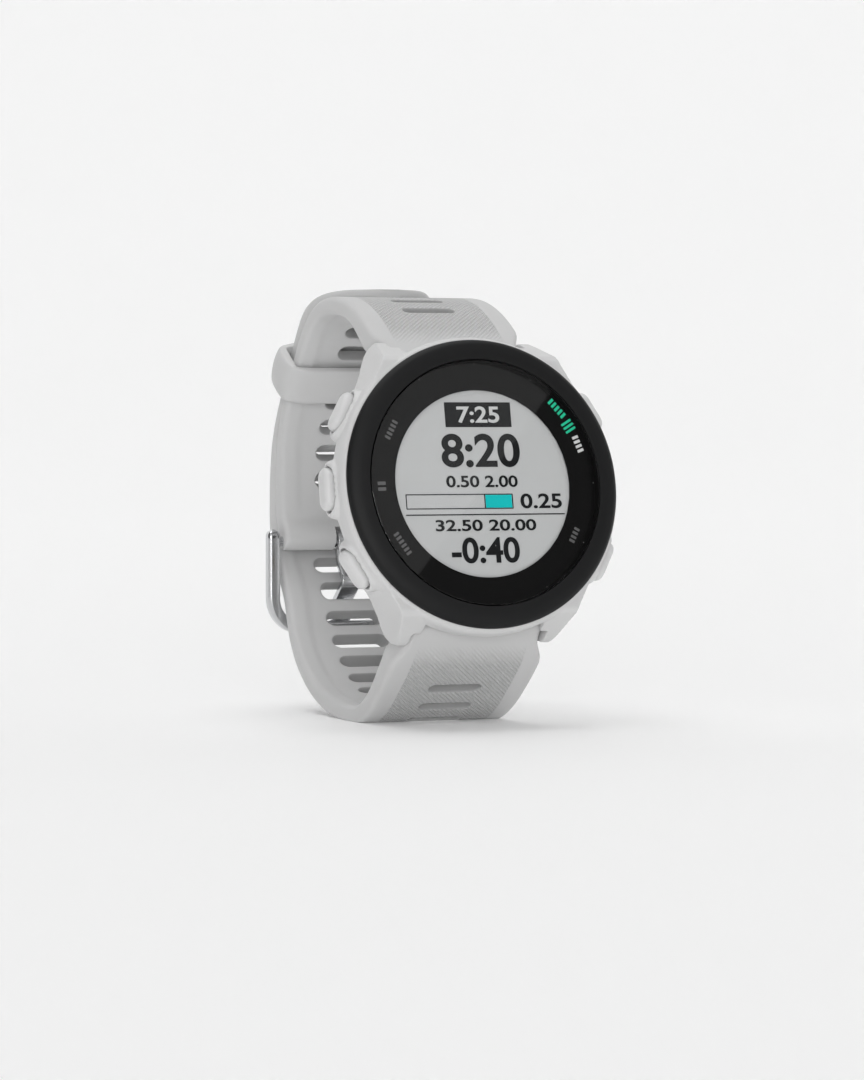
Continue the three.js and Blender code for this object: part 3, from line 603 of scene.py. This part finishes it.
def ring_graphics():
    front, back = 1.205, 1.235
    ticks = []
    for k in range(12):
        x, z = on_ring(16.85, 30 * k)
        ticks.append([(x + a, z + b) for a, b in circle(0.09, 8)])
    dim = ring_caption(150, 5, 0.62, 0.85) + ring_caption(213, 6, 0.62, 0.85, flip=True)
    dim += ring_caption(-29, 4, 0.62, 0.85, flip=True) + ring_caption(181, 2, 0.8, 1.2)
    flat_mark("ring_dim_marks", ticks + dim, front, back, DIM, "dial_mask")
    green = ring_caption(41, 5, 0.66, 0.95, radius=16.1)
    for degrees in (28.2, 30.4, 32.6):
        green.append(bar(*on_ring(15.9, degrees), 1.7, 0.34, math.radians(30.4), 0.1))
    flat_mark("ring_green_marks", green, front, back, GREEN, "dial_mask")
    white = ring_caption(20.3, 4, 0.66, 0.95, radius=15.95)
    flat_mark("ring_white_marks", white, front, back, WHITE, "dial_mask")


def button(name, degrees):
    place = button_matrix(degrees)
    rings = []
    profile = [(0.45, 20.5), (0.12, 20.58), (0, 20.9), (0, 21.75)]
    for a in np.linspace(0.2, math.pi / 2, 7):
        profile.append((0.95 * (1 - math.cos(a)), 21.75 + 0.85 * math.sin(a)))
    profile += [(1.2, 22.68), (1.42, 22.72)]
    for inset, high in profile:
        rings.append([(x, y, high) for x, y in stadium(6 - 2 * inset, 3 - 2 * inset, 14)])
    cap = skin(f"cap_{name}", rings, place)
    steps = [(0, 16.2), (0.65, 16.2), (1, 16.4), (1, 16.5), (0.65, 16.5), (0.65, 17.1), (1, 17.1), (1, 21),
             (0, 21)]
    stem = lathe("stem", steps, 32, place @ Matrix.Rotation(math.pi / 2, 4, "X"))
    boolean(cap, [stem], "UNION")
    tidy(cap)
    finish_piece(cap, CAP, f"{name}_button", f"button_{name}", f"button_{name}")


def back_pieces():
    profile = fillet([(7.5, 9.4), (17.6, 9.4), (17.6, 10.15), (17.35, 10.4), (10.4, 10.4), (9.2, 11.0),
                      (8.7, 11.3), (7.5, 11.3)], [0.02, 0.1, 0.2, 0.3, 0.8, 0.8, 0.25, 0.12])
    cover = lathe("cover_plate", profile, 160)
    flats = block("flats", (-20, 0, -15.9), (20, 14, 15.9))
    boolean(cover, [flats], "INTERSECT")
    tools = []
    for angle in SCREW_ANGLES:
        x, z = on_ring(SCREW_RING, angle)
        steps = [(0, 9), (0.7, 9), (0.7, 9.9), (1.2, 9.9), (1.2, 12), (0, 12)]
        tools.append(lathe("seat", steps, 32, centre=(x, 0, z)))
    tools.append(prism("port", stadium(8.4, 3.2), lambda a, b, c: (a, c, b - 12.05), 9.86, 12))
    boolean(cover, tools)
    tidy(cover, merge=1e-3)
    finish_piece(cover, SATIN, "watch", "back_cover", "back_cover")
    window = fillet([(7.4, 10.0), (7.4, 11.2), (7.1, 11.5), (6.6, 11.6)], [0, 0.25, 0.25, 0.2])
    window = [(0, 10.0)] + window + [(0, 11.6)]
    glass = lathe("sensor_lens", window)
    finish_piece(glass, SENSOR, "watch", "sensor_window", "sensor_window")


def screws():
    for k, angle in enumerate(SCREW_ANGLES, 1):
        x, z = on_ring(SCREW_RING, angle)
        profile = [(0, 8.5), (0.6, 8.5), (0.6, 9.95), (1.15, 9.95), (1.15, 10.26), (1.1, 10.35), (1.0, 10.38),
                   (0, 10.38)]
        screw = lathe(f"cover_screw_{k}", profile, 48, centre=(x, 0, z))
        socket = prism("socket", circle(0.55, 6), lambda a, b, c: (x + a, c, z + b), 10.1, 10.8)
        finish_piece(tidy(boolean(screw, [socket])), STEEL, "watch", f"back_screw_{k}", f"back_screw_{k}")


# ---------------------------------------------------------------- the band
class Rail:
    """The outer face of a band half in the plane X = 0, as a centripetal curve through its knots."""

    def __init__(self, knots, side):
        origin = np.array([LENS_CENTRE.y, LENS_CENTRE.z]) / MM
        knots = np.array(knots, float) + origin
        ends = [2 * knots[0] - knots[1], *knots, 2 * knots[-1] - knots[-2]]
        points = []
        for p0, p1, p2, p3 in zip(ends, ends[1:], ends[2:], ends[3:]):
            d0, d1, d2 = (math.sqrt(np.linalg.norm(b - a)) for a, b in ((p0, p1), (p1, p2), (p2, p3)))
            m1 = ((p1 - p0) / d0 - (p2 - p0) / (d0 + d1) + (p2 - p1) / d1) * d1
            m2 = ((p2 - p1) / d1 - (p3 - p1) / (d1 + d2) + (p3 - p2) / d2) * d1
            for t in np.linspace(0, 1, 41)[:-1]:
                points.append(p1 + m1 * t + (3 * (p2 - p1) - 2 * m1 - m2) * t ** 2
                              + (2 * (p1 - p2) + m1 + m2) * t ** 3)
        points.append(knots[-1])
        self.points = np.array(points)
        steps = np.linalg.norm(np.diff(self.points, axis=0), axis=1)
        self.at = np.concatenate([[0], np.cumsum(steps)])
        self.length = self.at[-1]
        along = np.gradient(self.points, self.at, axis=0)
        self.along = along / np.linalg.norm(along, axis=1)[:, None]
        self.side = side

    def frame(self, s):
        inside = min(max(s, 0.0), self.length)
        place = np.array([np.interp(inside, self.at, self.points[:, k]) for k in (0, 1)])
        along = np.array([np.interp(inside, self.at, self.along[:, k]) for k in (0, 1)])
        along /= np.linalg.norm(along)
        return place + along * (s - inside), along

    def point(self, across, s, depth):
        place, along = self.frame(s)
        inward = self.side * np.array([-along[1], along[0]])
        y, z = place + inward * depth
        return across, y, max(z, 0.0)

    def nearest(self, y, z):
        """The place along the rail nearest to a point counted from the lens centre."""
        target = np.array([y, z]) + np.array([LENS_CENTRE.y, LENS_CENTRE.z]) / MM
        return self.at[np.argmin(np.linalg.norm(self.points - target, axis=1))]


LONG = Rail([(3.2, -20.85), (6.6, -25.3), (11.6, -29.7), (15.6, -32.6), (19.6, -34.35), (24, -34.75),
             (28.8, -34.4), (33.4, -33.8), (37.9, -32.4), (41.9, -30.3), (45.8, -27.2), (49.2, -23.2),
             (52, -18), (54.6, -14.4), (56.7, -11), (57.6, -7.4), (57.7, -3.3), (57.5, 0.3), (56.8, 4.5),
             (55.3, 8.4), (51.6, 14.3), (47.7, 20.1), (44.8, 23.7), (41.4, 26.3), (38, 27.3),
             (35.2, 27.5)], 1)
SHORT = Rail([(10.2, 17.6), (12.9, 19.7), (16.2, 22), (20.2, 24.1), (24.7, 25.6), (30, 26.2), (35.5, 25.7),
              (39.2, 24.4), (42.6, 21.9), (45.8, 18.3), (49.6, 12.9), (53, 7.2), (54.4, 3.7), (55.1, 0),
              (55.2, -3.3), (54.7, -6.9), (53.9, -9.5)], -1)
PITCH = 4.5
SLOT_LONG, SLOT_WIDE = 8.6, 2.35
NARROWED = 0.4
STRAIGHT = (SLOT_LONG - SLOT_WIDE) / 2
COLUMNS = [-6, -5.2, -4.5, -3.8, -STRAIGHT, -2.1, -1.05, 0, 1.05, 2.1, STRAIGHT, 3.8, 4.5, 5.2, 6]
OUTER_QUADS = 9
LUG_ROUND = 1.95
BUCKLE_ROUND = 1.9


def half_width(s):
    shoulder = mix(9.95, 11.5, ease(s, 1.6, 6.4))
    return mix(mix(shoulder, 10.6, ease(s, 8, 40)), 10.0, ease(s, 48, 62))


def long_half(s):
    past = max(0.0, s - (LONG.length - 10)) / 10.25
    return half_width(s) * math.sqrt(1 - min(past, 0.999) ** 2)


def long_thick(s):
    middle = mix(mix(3.9, 2.8, ease(s, 2, 16)), 2.35, ease(s, 30, 75))
    return mix(middle, 1.15, ease(s, LONG.length - 14, LONG.length))


def short_thick(s):
    end = SHORT.length
    middle = mix(mix(3.9, 2.6, ease(s, 2, 16)), 2.3, ease(s, 20, 32))
    return mix(mix(middle, 2.9, ease(s, end - 18, end - 8)), 2 * BUCKLE_ROUND, ease(s, end - 3.5, end))


def round_end(past, radius):
    """How far the faces draw in, past the start of a round end."""
    past = min(max(past, 0.0), radius * 0.997)
    return radius - math.sqrt(radius * radius - past * past)


class Band:
    """A band half: rows of points over its outer face, round both edges and over its inner face."""

    def __init__(self, name, rail, half, thick, start, stop, slots, dish):
        self.name, self.rail, self.half, self.thick = name, rail, half, thick
        self.start, self.stop, self.slots, self.dish_range = start, stop, slots, dish
        self.used_slot = None
        self.flat = []
        self.faces = []
        self.regions = []

    def depths(self, s):
        """Outer and inner depth of the plain section at s."""
        drawn = round_end(-s, LUG_ROUND)
        if self.stop > self.rail.length:
            drawn = max(drawn, round_end(s - self.rail.length, BUCKLE_ROUND))
        return drawn, self.thick(min(max(s, 0.0), self.rail.length)) - drawn

    def dish(self, across, s):
        """The inner face is slightly hollow between its rims."""
        low, high = self.dish_range
        reach = ease(s, low, low + 6) * (1 - ease(s, high - 6, high))
        rim = self.half(s)
        return 0.38 * reach * (1 - ease(abs(across), rim - 3.6, rim - 2.1))

    def squeeze(self, s):
        return min(1.0, max(0.08, (self.half(s) - 1.8) / 6))

    def edge(self, s):
        """Points from the outer face's border round the edge to the inner face's border."""
        low, high = self.depths(s)
        half = self.half(s)
        first = 6 * self.squeeze(s)
        soft = min(0.8, (high - low) * 0.45, half * 0.3)
        points = [(mix(first, half - soft, t), low) for t in (0, 0.3, 0.6, 0.85)]
        for k in range(6):
            turn = math.pi / 2 * k / 5
            points.append((half - soft + soft * math.sin(turn), low + soft * (1 - math.cos(turn))))
        for k in range(6):
            turn = math.pi / 2 * k / 5
            points.append((half - soft + soft * math.cos(turn), high - soft + soft * math.sin(turn)))
        for t in (0.93, 0.86, 0.78, 0.7, 0.6, 0.5, 0.4, 0.3, 0.2, 0.1, 0):
            across = mix(first, half - soft, t)
            points.append((across, high - self.dish(across, s)))
        return points

    def quad(self, points, region):
        start = len(self.flat)
        self.flat += points
        self.faces.append(tuple(range(start, start + len(points))))
        self.regions.append(region)

    def rows(self):
        """Places along the band, with an even share in each slot's cell."""
        places = []
        at = self.start
        for slot in [*self.slots, None]:
            end = self.stop if slot is None else slot - PITCH / 2
            count = max(1, round((end - at) / 0.75)) if end - at > 1e-3 else 0
            places += [(at + (end - at) * k / count, False) for k in range(count)]
            if slot is None:
                break
            places += [(end + PITCH * k / 6, True) for k in range(6)]
            at = end + PITCH
        return places + [(self.stop, False)]

    def inner_depth(self, across, s):
        return self.depths(s)[1] - self.dish(across, s)

    def build(self):
        places = self.rows()
        for (s, in_slot), (t, _) in zip(places, places[1:]):
            edge_a, edge_b = self.edge(s), self.edge(t)
            for side in (1, -1):
                row_a = [(side * across, s, depth) for across, depth in edge_a]
                row_b = [(side * across, t, depth) for across, depth in edge_b]
                for k in range(len(row_a) - 1):
                    region = OUTER_SIDE if k < OUTER_QUADS else INNER_SIDE
                    self.quad([row_a[k], row_a[k + 1], row_b[k + 1], row_b[k]], region)
            if in_slot:
                continue
            for a, b in zip(COLUMNS, COLUMNS[1:]):
                corners = [(x * self.squeeze(at), at) for x, at in ((a, s), (b, s), (b, t), (a, t))]
                self.quad([(x, at, self.depths(at)[0]) for x, at in corners], OUTER_SIDE)
                self.quad([(x, at, self.inner_depth(x, at)) for x, at in corners], INNER_SIDE)
        for slot in self.slots:
            self.slot_cell(slot)
        return self.mesh()

    def slot_cell(self, centre):
        """One cell of the band, with a slot whose mouths are rounded over. All but the slot that the tongue
        sits in have a narrowed outer mouth."""
        border, inner = [], []
        half = PITCH / 2
        right = [(x, half) for x in COLUMNS if x >= STRAIGHT]
        right += [(6, half - PITCH * k / 6) for k in range(1, 6)]
        right += [(x, -half) for x in reversed(COLUMNS) if x >= STRAIGHT]
        arc = len(right) - 1
        middle = [x for x in COLUMNS if -STRAIGHT < x < STRAIGHT]
        for side in (1, -1):
            for k, (x, s) in enumerate(right):
                border.append((side * x, side * s))
                inner.append((side * STRAIGHT, side * math.pi / 2 - math.pi * k / arc))
            for x in reversed(middle):
                border.append((side * x, -side * half))
                inner.append((side * x, -side * math.pi / 2))
        reach = SLOT_WIDE / 2
        count = len(border)
        rings = [[(x, centre + s, 0) for x, s in border]]
        tight = 0.0 if centre == self.used_slot else NARROWED
        low_profile = [(0.54, 0.0), (0.28, 0.01), (0.12, 0.06), (0.03, 0.17), (0, 0.34)]
        low_profile = [(grow - tight, depth) for grow, depth in low_profile]
        high_profile = [(0, -0.55), (0.05, -0.3), (0.18, -0.12), (0.4, -0.02), (0.68, 0.0)]
        for is_inner, profile in ((False, low_profile), (True, high_profile)):
            for grow, depth in profile:
                rings.append([self.mouth(place, centre, reach + grow, depth, is_inner) for place in inner])
        rings.append([(x, centre + s, self.inner_depth(x, centre + s)) for x, s in border])
        walls = len(rings) - 7
        # Slot wall faces carry the code for the painted shade in the band material.
        regions = [OUTER_SIDE] * 3 + [SLOT_WALL] * walls + [INNER_SIDE] * 3
        for region, a, b in zip(regions, rings, rings[1:]):
            for k in range(count):
                nxt = (k + 1) % count
                self.quad([a[k], a[nxt], b[nxt], b[k]], region)

    def mouth(self, place, centre, reach, depth, is_inner):
        middle, turn = place
        x = middle + reach * math.cos(turn)
        s = centre + reach * math.sin(turn)
        return x, s, (self.inner_depth(x, s) if is_inner else 0) + depth

    def mesh(self):
        mesh = bpy.data.meshes.new(self.name)
        mesh.from_pydata(self.flat, [], self.faces)
        layer = mesh.uv_layers.new(name="flat")
        for polygon, region in zip(mesh.polygons, self.regions):
            for loop in polygon.loop_indices:
                x, s, _ = mesh.vertices[mesh.loops[loop].vertex_index].co
                layer.data[loop].uv = (x / UV_ACROSS + region, s / UV_ALONG)
        obj = linked(self.name, mesh)
        bm = bmesh.new()
        bm.from_mesh(mesh)
        bmesh.ops.remove_doubles(bm, verts=bm.verts, dist=1e-3)
        bmesh.ops.holes_fill(bm, edges=[edge for edge in bm.edges if edge.is_boundary], sides=0)
        for vertex in bm.verts:
            vertex.co = self.rail.point(*vertex.co)
        bmesh.ops.recalc_face_normals(bm, faces=bm.faces)
        bm.to_mesh(mesh)
        bm.free()
        mesh.polygons.foreach_set("use_smooth", [True] * len(mesh.polygons))
        mesh.set_sharp_from_angle(angle=math.radians(50))
        return obj


def slot_places(anchor, low, high):
    """Slot centres one pitch apart, counted from the anchor, between two places on the rail."""
    first = math.ceil((low - anchor) / PITCH)
    last = math.floor((high - anchor) / PITCH)
    return [anchor + k * PITCH for k in range(first, last + 1)]


def lever_pocket(side):
    """The room in a band end for the spring bar's release lever."""
    lean = math.radians(-38) * side
    middle = Matrix.Translation((0, SPRING_BAR_DEPTH, SPRING_BAR_REACH * side))
    place = HEAD @ middle @ Matrix.Rotation(lean, 4, "X")
    return block("pocket", (5.6, 0, -0.95), (8.9, 6, 0.95), place)


def band():
    anchor = LONG.nearest(51.9, -17.75)
    slots = slot_places(anchor, 11, LONG.length - 12)
    long_band = Band("band_long", LONG, long_half, long_thick, -LUG_ROUND * 0.99, LONG.length, slots,
                     (9, LONG.length - 8))
    long_band.used_slot = anchor
    long_half_band = boolean(long_band.build(), [lever_pocket(-1)])
    material = silicone("band_silicone_long", (2.5, 6.5, LONG.length - 16, LONG.length - 9))
    finish_piece(long_half_band, material, "watch", "strap_long", "strap_long")
    anchor = SHORT.nearest(19.8, 25.2)
    slots = slot_places(anchor, 10, SHORT.length - 8)
    short_half_band = Band("band_short", SHORT, half_width, short_thick, -LUG_ROUND * 0.99,
                           SHORT.length + BUCKLE_ROUND * 0.99, slots, (9, SHORT.length - 2)).build()
    notch = block("notch", (-2, BAR.y - 3, BAR.z - 3), (2, BAR.y + 3, BAR.z + 2.1), SHARED)
    boolean(short_half_band, [lever_pocket(1), notch])
    material = silicone("band_silicone_short", (2.5, 6.5, SHORT.length - 12, SHORT.length - 6))
    finish_piece(short_half_band, material, "watch", "strap_short", "strap_short")


def resampled(outline, count):
    """Even points round a closed outline, from its first point."""
    points = np.array([*outline, outline[0]])
    at = np.concatenate([[0], np.cumsum(np.linalg.norm(np.diff(points, axis=0), axis=1))])
    share = np.linspace(0, at[-1], count, endpoint=False)
    return [(np.interp(s, at, points[:, 0]), np.interp(s, at, points[:, 1])) for s in share]


def ray_outline(outline, count):
    """Points where rays from the middle, even once the height is stretched 2.6 times, cross an outline."""
    fine = np.array(resampled(outline, 2000))
    angles = np.unwrap(np.arctan2(fine[:, 1] * 2.6, fine[:, 0]))
    turns = angles[0] + np.linspace(0, 2 * math.pi, count, endpoint=False)
    return [(np.interp(t, angles, fine[:, 0]), np.interp(t, angles, fine[:, 1])) for t in turns]


def keeper():
    outlines = []
    for half, low, high, bottom_round, top_round, steps in ((12.5, -4.2, 4.8, 3.4, 5.4, 16),
                                                            (10.6, -2.8, 2.8, 0.5, 0.9, 6)):
        corners = [(0, low), (half, low), (half, high), (-half, high), (-half, low)]
        radii = [0, bottom_round, top_round, top_round, bottom_round]
        outlines.append(ray_outline(fillet(corners, radii, steps), 128))
    section = [(0.12, -2.9), (0, -2.7), (0, 2.7), (0.12, 2.9)]
    section += [(0.6 + 0.4 * math.cos(turn), 2.9 * math.sin(turn)) for turn in np.linspace(1.57, -1.57, 17)]
    place, along = LONG.frame(LONG.nearest(50.1, 16.8))
    inward = np.array([-along[1], along[0]])
    rings = []
    for (xo, do), (xi, di) in zip(*outlines):
        ring = []
        for share, shift in section:
            x, out = mix(xi, xo, share), mix(di, do, share)
            y, z = place + inward * (2.45 - out) + along * shift
            ring.append((x, y, z))
        rings.append(ring)
    loop = skin("band_keeper", rings, loop=True)
    finish_piece(loop, LOOP_SILICONE, "loop", "keeper", "keeper")


def swept(name, path, normal, section, round_ends):
    """Sweeps a section (across, out) along 3-D points, drawn in at both ends. normal is the out direction."""
    path = [Vector(point) for point in path]
    normal = Vector(normal)
    rings = []
    total = sum((b - a).length for a, b in zip(path, path[1:]))
    at = 0.0
    for k, point in enumerate(path):
        ahead = path[min(k + 1, len(path) - 1)] - path[max(k - 1, 0)]
        if k:
            at += (point - path[k - 1]).length
        across = ahead.normalized().cross(normal).normalized()
        out = across.cross(ahead.normalized()).normalized()
        near = min(at, total - at)
        shrink = 1.0
        if near < round_ends:
            shrink = math.sqrt(max(0.02, 1 - (1 - near / round_ends) ** 2))
        rings.append([point + across * a * shrink + out * b * shrink for a, b in section])
    return skin(name, rings)


def dense(path, step):
    """Adds points along a polyline so that none are further apart than step."""
    result = []
    for a, b in zip(path, path[1:]):
        count = max(1, math.ceil((Vector(b) - Vector(a)).length / step))
        result += [tuple(Vector(a).lerp(Vector(b), k / count)) for k in range(count)]
    return result + [path[-1]]


def buckle():
    half, inner, top, bottom, rail, thick = 12.4, 10.5, 1.8, 13.8, 2.0, 1.9
    side = (half + inner) / 2
    base = -bottom + rail / 2
    knots = dense([(side, top), (side, base + 4.4)], 0.35)
    for k in range(1, 15):
        turn = math.pi / 2 * k / 14
        knots.append((side - 4.4 + 4.4 * math.cos(turn), base + 4.4 - 4.4 * math.sin(turn)))
    knots = knots + [(-x, z) for x, z in reversed(knots)]
    path = [(BAR.x + x, BAR.y, BAR.z + z) for x, z in dense(knots, 0.6)]
    x, y = (half - inner) / 2, thick / 2
    section = fillet([(-x, -y), (x, -y), (x, y), (-x, y)], 0.6)
    hoop = swept("clasp_frame", path, (0, 1, 0), section, 1.0)
    finish_piece(hoop, STEEL, "clasp", "buckle_frame", "buckle_frame")
    profile = [(0, -12.1), (0.6, -12.1), (0.75, -11.95), (0.75, 11.95), (0.6, 12.1), (0, 12.1)]
    finish_piece(lathe("clasp_bar", profile, 48, BAR_PLACE), STEEL, "clasp", "buckle_bar", "buckle_bar")


def tongue():
    knots = np.array([(0, -0.6), (-0.65, -3.3), (-2.85, -5.95), (1.15, -9.15), (1.65, -11), (1.65, -13.9)])
    corners = [tuple(knots[0])]
    for a, b, c in zip(knots, knots[1:], knots[2:]):
        reach = 0.9
        start = b + (a - b) / np.linalg.norm(a - b) * reach
        end = b + (c - b) / np.linalg.norm(c - b) * reach
        for t in np.linspace(0, 1, 8):
            corners.append(tuple(start * (1 - t) ** 2 + b * 2 * t * (1 - t) + end * t * t))
    corners.append(tuple(knots[-1]))
    path = [(BAR.x, BAR.y + y, BAR.z + z) for y, z in dense(corners, 0.3)]
    section = fillet([(-0.5, -1.5), (0.5, -1.5), (0.5, 1.5), (-0.5, 1.5)], 0.3, 4)
    strip = swept("clasp_tongue", path, (1, 0, 0), section, 0.5)
    profile = fillet([(0.9, -1.5), (1.5, -1.5), (1.5, 1.5), (0.9, 1.5)], [0.05, 0.25, 0.25, 0.05])
    hub = lathe("hub", profile, 64, BAR_PLACE)
    eye = lathe("eye", [(0, -3), (0.9, -3), (0.9, 3), (0, 3)], 64, BAR_PLACE)
    boolean(strip, [hub], "UNION")
    boolean(strip, [eye])
    finish_piece(tidy(strip), STEEL, "prong", "buckle_tongue", "buckle_tongue")


# ---------------------------------------------------------------- carried CAD nodes
def carried():
    finishes = {
        "display_module": SCREEN, "dial_mask": BLACK, "inner_frame": BLACK, "buzzer": BLACK,
        "charge_port_insert": BLACK, "lens_gasket": SEAL, "back_gasket": SEAL, "gps_antenna": GOLD,
        "battery": FOIL, "vibration_motor": SHEET, "shield_can": SHEET, "main_board": BOARD,
        "sensor_board": BOARD, "spring_bar": STEEL, "release_pin": STEEL, "charge_pin": GOLD,
        "stem_seal": SEAL, "stem_clip": SHEET, "side_switch": SHEET,
    }
    for name, node in frame["nodes"].items():
        for start, material in finishes.items():
            if name.startswith(start):
                node.data.materials.clear()
                node.data.materials.append(material)


# ---------------------------------------------------------------- stage
def stage():
    nodes = Nodes("backdrop", Roughness=0.75, Emission_Color=(1, 1, 1, 1))
    nodes.colours(nodes.noise(0.004, 2), grey(245), grey(247))
    away = nodes.add("ShaderNodeVectorMath", operation="LENGTH")
    nodes.link(nodes.place(), away.inputs[0])
    lift = nodes.add("ShaderNodeMapRange", interpolation_type="SMOOTHSTEP")
    nodes.link(away.outputs["Value"], lift.inputs["Value"])
    for socket, value in (("From Min", 0.3), ("From Max", 2.0), ("To Min", 0.07), ("To Max", 0.1)):
        lift.inputs[socket].default_value = value
    nodes.link(lift.outputs["Result"], nodes.shader.inputs["Emission Strength"])
    nodes.bump(nodes.noise(0.3, 3), 0.01)
    sweep = [(-3.0, 0), (0.6, 0), (1.2, 0.0)]
    for k in range(1, 25):
        turn = math.pi / 2 * k / 24
        sweep.append((1.2 + 1.2 * math.sin(turn), 1.2 * (1 - math.cos(turn))))
    sweep.append((2.4, 3.5))
    turn = Matrix.Rotation(CAMERA_TURN, 4, "Z")
    points = [turn @ Vector((x, y, z)) for y, z in sweep for x in (-4, 4)]
    faces = [(2 * k, 2 * k + 1, 2 * k + 3, 2 * k + 2) for k in range(len(sweep) - 1)]
    mesh = bpy.data.meshes.new("backdrop")
    mesh.from_pydata(points, [], faces)
    mesh.polygons.foreach_set("use_smooth", [True] * len(mesh.polygons))
    floor = linked("backdrop", mesh)
    mesh.materials.append(nodes.material)


def sun(name, away, strength, spread):
    """A far, wide softbox in the direction away from the watch."""
    light = bpy.data.lights.new(name, "SUN")
    light.energy = strength
    light.angle = math.radians(spread)
    linked(name, light).rotation_euler = (-Vector(away)).to_track_quat("-Z", "Y").to_euler()


def reflection_card():
    """A dim softbox that the lens mirrors, with one straight edge across the middle of the glass."""
    edge = Vector((0.655, 0, 0)) + UP_AXIS * 0.755
    high = -DEPTH_AXIS.cross(edge)
    light = bpy.data.lights.new("card", "AREA")
    light.shape = "RECTANGLE"
    light.size, light.size_y = 1.6, 0.8
    light.energy = 1.3
    card = linked("card", light)
    mirrored = Vector((0.408, -0.851, 0.330))
    place = LENS_CENTRE + mirrored * 1.2 + high * 0.4
    card.matrix_world = Matrix.Translation(place) @ Matrix((edge, high, -DEPTH_AXIS)).transposed().to_4x4()


SKY_LIGHT, SKY_SEEN = 0.12, 0.86


def lights():
    """Suns, the card, and a sky that looks as pale as the backdrop but lights the watch less."""
    world = bpy.data.worlds.new("studio")
    bpy.context.scene.world = world
    world.use_nodes = True
    tree = world.node_tree
    tree.nodes["Background"].inputs["Color"].default_value = (1, 1, 1, 1)
    seen = tree.nodes.new("ShaderNodeLightPath")
    strength = tree.nodes.new("ShaderNodeMapRange")
    strength.inputs["To Min"].default_value = SKY_LIGHT
    strength.inputs["To Max"].default_value = SKY_SEEN
    tree.links.new(seen.outputs["Is Camera Ray"], strength.inputs["Value"])
    tree.links.new(strength.outputs["Result"], tree.nodes["Background"].inputs["Strength"])
    bpy.context.scene.view_settings.view_transform = "Standard"
    sun("top", (-0.1, 0.1, 1), 1.4, 55)
    sun("key", (-0.7, -0.9, 0.6), 0.45, 60)
    sun("front", (-0.4, -1, 0.05), 1.15, 30)
    sun("fill", (0.9, -0.2, 0.5), 0.25, 60)
    reflection_card()


def camera():
    data = bpy.data.cameras.new("camera")
    data.sensor_width = 36
    data.lens = 142.67
    data.clip_start = 0.05
    obj = linked("camera", data)
    obj.location = LENS_CENTRE + Vector((-0.2412, -0.5394, 0.0090))
    obj.rotation_euler = (math.radians(90 - 1.65), 0, CAMERA_TURN)
    bpy.context.scene.camera = obj


camera()
stage()
lights()
mid_case()
bezel()
lens()
screen_graphics()
ring_graphics()
for button_name, button_angle in BUTTONS.items():
    button(button_name, button_angle)
back_pieces()
screws()
band()
keeper()
buckle()
tongue()
carried()
